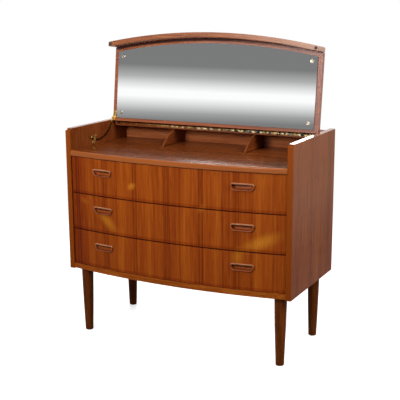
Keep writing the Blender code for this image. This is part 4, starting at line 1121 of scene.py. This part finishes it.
ARM_EYE_BRASS = "#DDBC6C"

BASE_X = -INNER_HALF + SEAT
ARM_X = BASE_X + GUIDE_BASE_T + PLAY + ARM_T / 2
PLATE_X = ARM_X + ARM_T / 2 + PLAY
lean = np.array(Matrix.Rotation(-LID_OPEN, 2))
pivot = np.array([PIN_Y, PIN_Z]) + lean @ (-STAY_U, -STAY_W)
guide = np.array([PIN_Y - GUIDE_FORWARD, PIN_Z - GUIDE_BELOW])

# The arm follows the arc from the guide to the pivot and runs on past the guide
arm_centre = arc_centre(guide, pivot, ARM_CURVE_R)
head_angle = angle_at(arm_centre, pivot)
tail_angle = angle_at(arm_centre, guide) - ARM_OVERRUN / ARM_CURVE_R
tail = arm_centre + ARM_CURVE_R * np.array([math.cos(tail_angle), math.sin(tail_angle)])
half_arm = ARM_WIDTH / 2
arm_outline = np.concatenate([
    arc(arm_centre, ARM_CURVE_R + half_arm, tail_angle, head_angle, 40),
    arc(pivot, half_arm, head_angle, head_angle + math.pi, 10)[1:-1],
    arc(arm_centre, ARM_CURVE_R - half_arm, head_angle, tail_angle, 40),
    arc(tail, half_arm, tail_angle + math.pi, tail_angle + math.tau, 10)[1:-1]])
arm_shape = board(arm_outline, ARM_X - ARM_T / 2, ARM_X + ARM_T / 2, PLATE_EASE, "yz")


def arm_wear(tree, place, colour):
    """Brighter round the eye at the arm's upper end."""
    height = add(tree, "SeparateXYZ", {0: place}, out="Z")
    return shaded(tree, colour, height, (pivot[1] - ARM_EYE, pivot[1] - ARM_EYE / 2), ARM_EYE_BRASS)


ARM_BRASS = brass("brass_arm_browned", 0.8, 0.25, ARM_TONES, arm_wear)
GUIDE_BRASS = brass("brass_guide_rubbed", 0.0, 0.45)
piece("stay_arm_curved", arm_shape, "stay_arm", "brass", ARM_BRASS, "stay_arm")
dome = arc((0, KNOB_H / 2), KNOB_D / 2, 0, math.radians(80), 8) * (1, KNOB_SQUASH)
dome += (0, KNOB_H * (1 - KNOB_SQUASH) / 2)
knob = lying(turned(np.concatenate([[(KNOB_FOOT_D / 2, 0)], dome]), 32))
knob_spot = (ARM_X + ARM_T / 2 + SEAT, *tail)
piece("stay_knob_turned", moved(knob, knob_spot), "stay_arm", "brass", GUIDE_BRASS, "stay_knob")

# The bracket is a bent plate: a foot under the lid, and a lug with a rounded end that takes the rivet
lug_r = RIVET_HEAD_D / 2 + PLAY
foot_top = LID_UNDER - SEAT
first = -BRACKET_START - BRACKET_LENGTH
last = -BRACKET_START
lug_end = arc((-STAY_U, -STAY_W), lug_r, math.radians(200), math.radians(340), 12)
lug_outline = np.concatenate([[(first, foot_top)], lug_end, [(last, foot_top)]])
lug = board(lug_outline, PLATE_X, PLATE_X + BRACKET_T, PLATE_EASE, "yz")
foot_outline = rectangle(PLATE_X, first, PLATE_X + BRACKET_WIDTH, last, 2 * PLATE_EASE)
foot_plate = board(foot_outline, foot_top - BRACKET_T, foot_top, PLATE_EASE)
bracket_head = turn(slotted_head(*BRACKET_SCREW), 'X', math.pi)
bracket_screws = [moved(bracket_head, (PLATE_X + BRACKET_SCREW_X, y, foot_top - BRACKET_T))
                  for y in (first + BRACKET_SCREW_INSET, last - BRACKET_SCREW_INSET)]
piece("stay_lug_bracket", on_lid(joined(lug, foot_plate, *bracket_screws)), "lid", "brass", FITTING_BRASS,
      "stay_bracket")
outside = ARM_X - ARM_T / 2 - SEAT
inside = PLATE_X + BRACKET_T + SEAT
rivet_crown = RIVET_CROWN_D / 2
rivet_head = RIVET_HEAD_D / 2
rivet_neck = RIVET_CROWN_D / 3
rivet_brim = RIVET_HEAD_H * 0.4
rivet = turned([(rivet_crown, outside - RIVET_HEAD_H), (rivet_head, outside - rivet_brim),
                (rivet_head, outside), (rivet_neck, outside), (rivet_neck, inside), (rivet_head, inside),
                (rivet_head, inside + rivet_brim), (rivet_crown, inside + RIVET_HEAD_H)], 28)
rivet = moved(lying(rivet), (0, -STAY_U, -STAY_W))
piece("stay_pivot_rivet", on_lid(rivet), "lid", "brass", FITTING_BRASS, "stay_rivet")

# The guide: a base against the side, a friction plate over the arm, and the screws that hold them apart
end_r = GUIDE_WIDTH / 2
straight = GUIDE_LENGTH / 2 - end_r
guide_outline = np.concatenate([arc((0, straight), end_r, 0, math.pi, 12),
                                arc((0, -straight), end_r, math.pi, math.tau, 12)])
guide_place = (0, *guide)
for name, node, low, high in (("stay_guide_foot", "stay_guide_base", BASE_X, BASE_X + GUIDE_BASE_T),
                              ("stay_guide_cover", "stay_guide_plate", PLATE_X, PLATE_X + GUIDE_PLATE_T)):
    plate = board(guide_outline, low, high, PLATE_EASE, "yz")
    piece(name, moved(turn(plate, 'X', -GUIDE_TILT), guide_place), "cabinet", "brass", GUIDE_BRASS, node)
guide_head = lying(slotted_head(GUIDE_HEAD_D, GUIDE_HEAD_H, SCREW_SLOT))
shank_ends = (BASE_X + GUIDE_BASE_T + SEAT, PLATE_X + GUIDE_PLATE_T + SEAT)
shank = lying(turned([(SHANK_R, end) for end in shank_ends], 20))
for level, reach in (("lower", -GUIDE_SCREW_SPAN / 2), ("upper", GUIDE_SCREW_SPAN / 2)):
    head = moved(guide_head, (PLATE_X + GUIDE_PLATE_T + SEAT, 0, reach))
    bolt = joined(head, moved(shank, (0, 0, reach)))
    piece("stay_guide_bolt_" + level, moved(turn(bolt, 'X', -GUIDE_TILT), guide_place), "cabinet", "brass",
          FITTING_BRASS, "stay_guide_screw_" + level)

# Floor
# A plain pale studio floor. It is lit and shadowed near the chest and fades into the white background.
FLOOR_RADIUS = 4.0
FLOOR_T = 0.01
FLOOR_FADE = (0.9, 2.4)
FLOOR_COLOUR = "#F6F6F6"
FLOOR_BOUNCE = "#606060"
FLOOR_GLOW = 0.62
WHITE = (1, 1, 1, 1)


def seen_directly(tree):
    """1 on rays from the camera and by way of mirrors and glass, and 0 once the light has been scattered."""
    path = add(tree, "LightPath").node.outputs
    seen = add(tree, "Math", {0: path["Is Camera Ray"], 1: path["Is Glossy Ray"]}, operation='MAXIMUM')
    seen = add(tree, "Math", {0: seen, 1: path["Is Transmission Ray"]}, operation='MAXIMUM')
    return add(tree, "Math", {0: seen, 1: path["Diffuse Depth"]}, operation='SUBTRACT', use_clamp=True)


def pale_floor():
    """Painted studio floor, dull as a light and pale where it is seen; far off it gives way to white."""
    material, tree, shader, place = new_material("studio_floor_paint")
    far = add(tree, "VectorMath", {0: place}, out="Value", operation='LENGTH')
    fade = add(tree, "MapRange", {"Value": far, "From Min": FLOOR_FADE[0], "From Max": FLOOR_FADE[1]},
               interpolation_type='SMOOTHSTEP')
    seen = seen_directly(tree)
    share = add(tree, "Math", {0: seen, 1: fade}, operation='MULTIPLY')
    colour = add(tree, "Mix", {0: seen, 6: linear(FLOOR_BOUNCE), 7: linear(FLOOR_COLOUR)}, out=2,
                 data_type='RGBA')
    glow = add(tree, "Math", {0: seen, 1: FLOOR_GLOW}, operation='MULTIPLY')
    white = add(tree, "Emission", {"Color": WHITE, "Strength": 1.0})
    mixed = add(tree, "MixShader", {0: share, 1: shader.outputs["BSDF"], 2: white})
    fill(tree, shader, {"Base Color": colour, "Emission Color": WHITE, "Emission Strength": glow,
                        "Roughness": 0.9, "Specular IOR Level": 0.1})
    fill(tree, tree.nodes["Material Output"], {"Surface": mixed})
    return material


floor = solid("studio_floor", turned([(FLOOR_RADIUS, -FLOOR_T), (FLOOR_RADIUS, 0.0)], 96))
floor.data.materials.append(pale_floor())
floor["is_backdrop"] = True

# Light
# A white surround that is soft on the wood, a softbox in front on the left, others on the right and behind,
# two strips that only give the polish its sheen, and a card far in front of the mirror, shaded from grey
# over white to grey, which is what the glass shows.
AMBIENT = 0.25
# Softboxes: place, aim, width, height, power, and whether they light dull surfaces or show as a gloss
SOFTBOXES = {"key": (Vector((-0.3, -1.85, 1.45)), Vector((0.05, 0.1, 1.2)), 0.6, 0.6, 31.0, True),
             "fill": (Vector((1.85, -0.3, 1.9)), Vector((0.45, 0.0, 0.8)), 0.8, 0.8, 30.0, True),
             "strip": (Vector((-0.7, -1.95, 1.85)), Vector((0.0, 0.0, 0.9)), 1.1, 0.4, 15.0, False),
             "sheen": (Vector((0.12, -1.95, 1.3)), Vector((0.4, 0.1, 0.95)), 0.35, 0.8, 20.0, False),
             "back": (Vector((-1.3, 1.8, 1.5)), Vector((-0.1, 0.1, 0.6)), 0.9, 0.9, 30.0, True)}
CARD_WAY = np.array([-0.447, -0.893])
CARD_DISTANCE = 6.0
CARD_HALF = 2.4
CARD_LOW = 0.4
CARD_HIGH = 2.6
CARD_SKEW = 0.064
CARD_BANDS = ((0.40, "#7E7E7E"), (1.30, "#7D7D7D"), (1.38, "#A1A1A1"), (1.484, "#E2E2E2"), (1.55, "#FFFFFF"),
              (1.61, "#FFFFFF"), (1.68, "#E1E1E1"), (1.758, "#B1B1B1"), (1.88, "#7C7C7C"), (2.60, "#7A7A7A"))


def surround():
    """The world: plain white where it is seen or mirrored, and a softer white on what scatters it."""
    world = bpy.data.worlds.new("studio")
    world.use_nodes = True
    tree = world.node_tree
    strength = add(tree, "MapRange", {"Value": seen_directly(tree), "To Min": AMBIENT})
    fill(tree, tree.nodes["Background"], {"Color": WHITE, "Strength": strength})
    return world


def card_paint():
    """A card shaded in bands that hang a little askew, lit evenly."""
    material, tree, shader, place = new_material("studio_card_paint")
    plumb = (CARD_SKEW * CARD_WAY[1], -CARD_SKEW * CARD_WAY[0], 1.0)
    level = add(tree, "VectorMath", {0: place, 1: plumb}, out="Value", operation='DOT_PRODUCT')
    share = add(tree, "MapRange", {"Value": level, "From Min": CARD_LOW, "From Max": CARD_HIGH})
    stops = [((height - CARD_LOW) / (CARD_HIGH - CARD_LOW), code) for height, code in CARD_BANDS]
    shade = add(tree, "ValToRGB", {"Fac": share}, ramp=stops)
    scattered = add(tree, "LightPath", out="Diffuse Depth")
    strength = add(tree, "MapRange", {"Value": scattered, "To Min": 1.0, "To Max": AMBIENT})
    light = add(tree, "Emission", {"Color": shade, "Strength": strength})
    fill(tree, tree.nodes["Material Output"], {"Surface": light})
    return material


bpy.context.scene.world = surround()
for name, (place, aim, width, height, power, dull) in SOFTBOXES.items():
    lamp = bpy.data.lights.new("softbox_" + name, 'AREA')
    lamp.shape = 'RECTANGLE'
    lamp.size = width
    lamp.size_y = height
    lamp.energy = power
    softbox = bpy.data.objects.new("softbox_" + name, lamp)
    softbox.location = place
    softbox.rotation_euler = (aim - place).to_track_quat('-Z', 'Y').to_euler()
    softbox.visible_diffuse = dull
    softbox.visible_glossy = not dull
    bpy.context.scene.collection.objects.link(softbox)

card_middle = CARD_WAY * CARD_DISTANCE
card_side = np.array([CARD_WAY[1], -CARD_WAY[0]]) * CARD_HALF
card_corners = [(*(card_middle - card_side), CARD_LOW), (*(card_middle + card_side), CARD_LOW),
                (*(card_middle + card_side), CARD_HIGH), (*(card_middle - card_side), CARD_HIGH)]
card = solid("studio_card", (card_corners, [(0, 1, 2, 3)]))
card.data.materials.append(card_paint())
card.visible_camera = False
card.visible_diffuse = False
card.visible_shadow = False
card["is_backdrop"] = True

# Camera
# It stands in front on the right, a little above the chest.
CAMERA_PLACE = Vector((1.5024, -2.8874, 1.2471))
CAMERA_AZIMUTH = math.radians(27.303)
CAMERA_DOWN = math.radians(12.565)
CAMERA_ROLL = math.radians(-0.287)
CAMERA_LENS = 80.94

camera_data = bpy.data.cameras.new("camera")
camera_data.lens = CAMERA_LENS
camera_data.sensor_width = 36.0
camera = bpy.data.objects.new("camera", camera_data)
camera_turn = (Matrix.Rotation(CAMERA_AZIMUTH, 4, 'Z') @ Matrix.Rotation(math.pi / 2 - CAMERA_DOWN, 4, 'X')
               @ Matrix.Rotation(CAMERA_ROLL, 4, 'Z'))
camera.matrix_world = Matrix.Translation(CAMERA_PLACE) @ camera_turn
bpy.context.scene.collection.objects.link(camera)
bpy.context.scene.camera = camera
bpy.context.scene.view_settings.view_transform = 'Standard'

low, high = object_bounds()
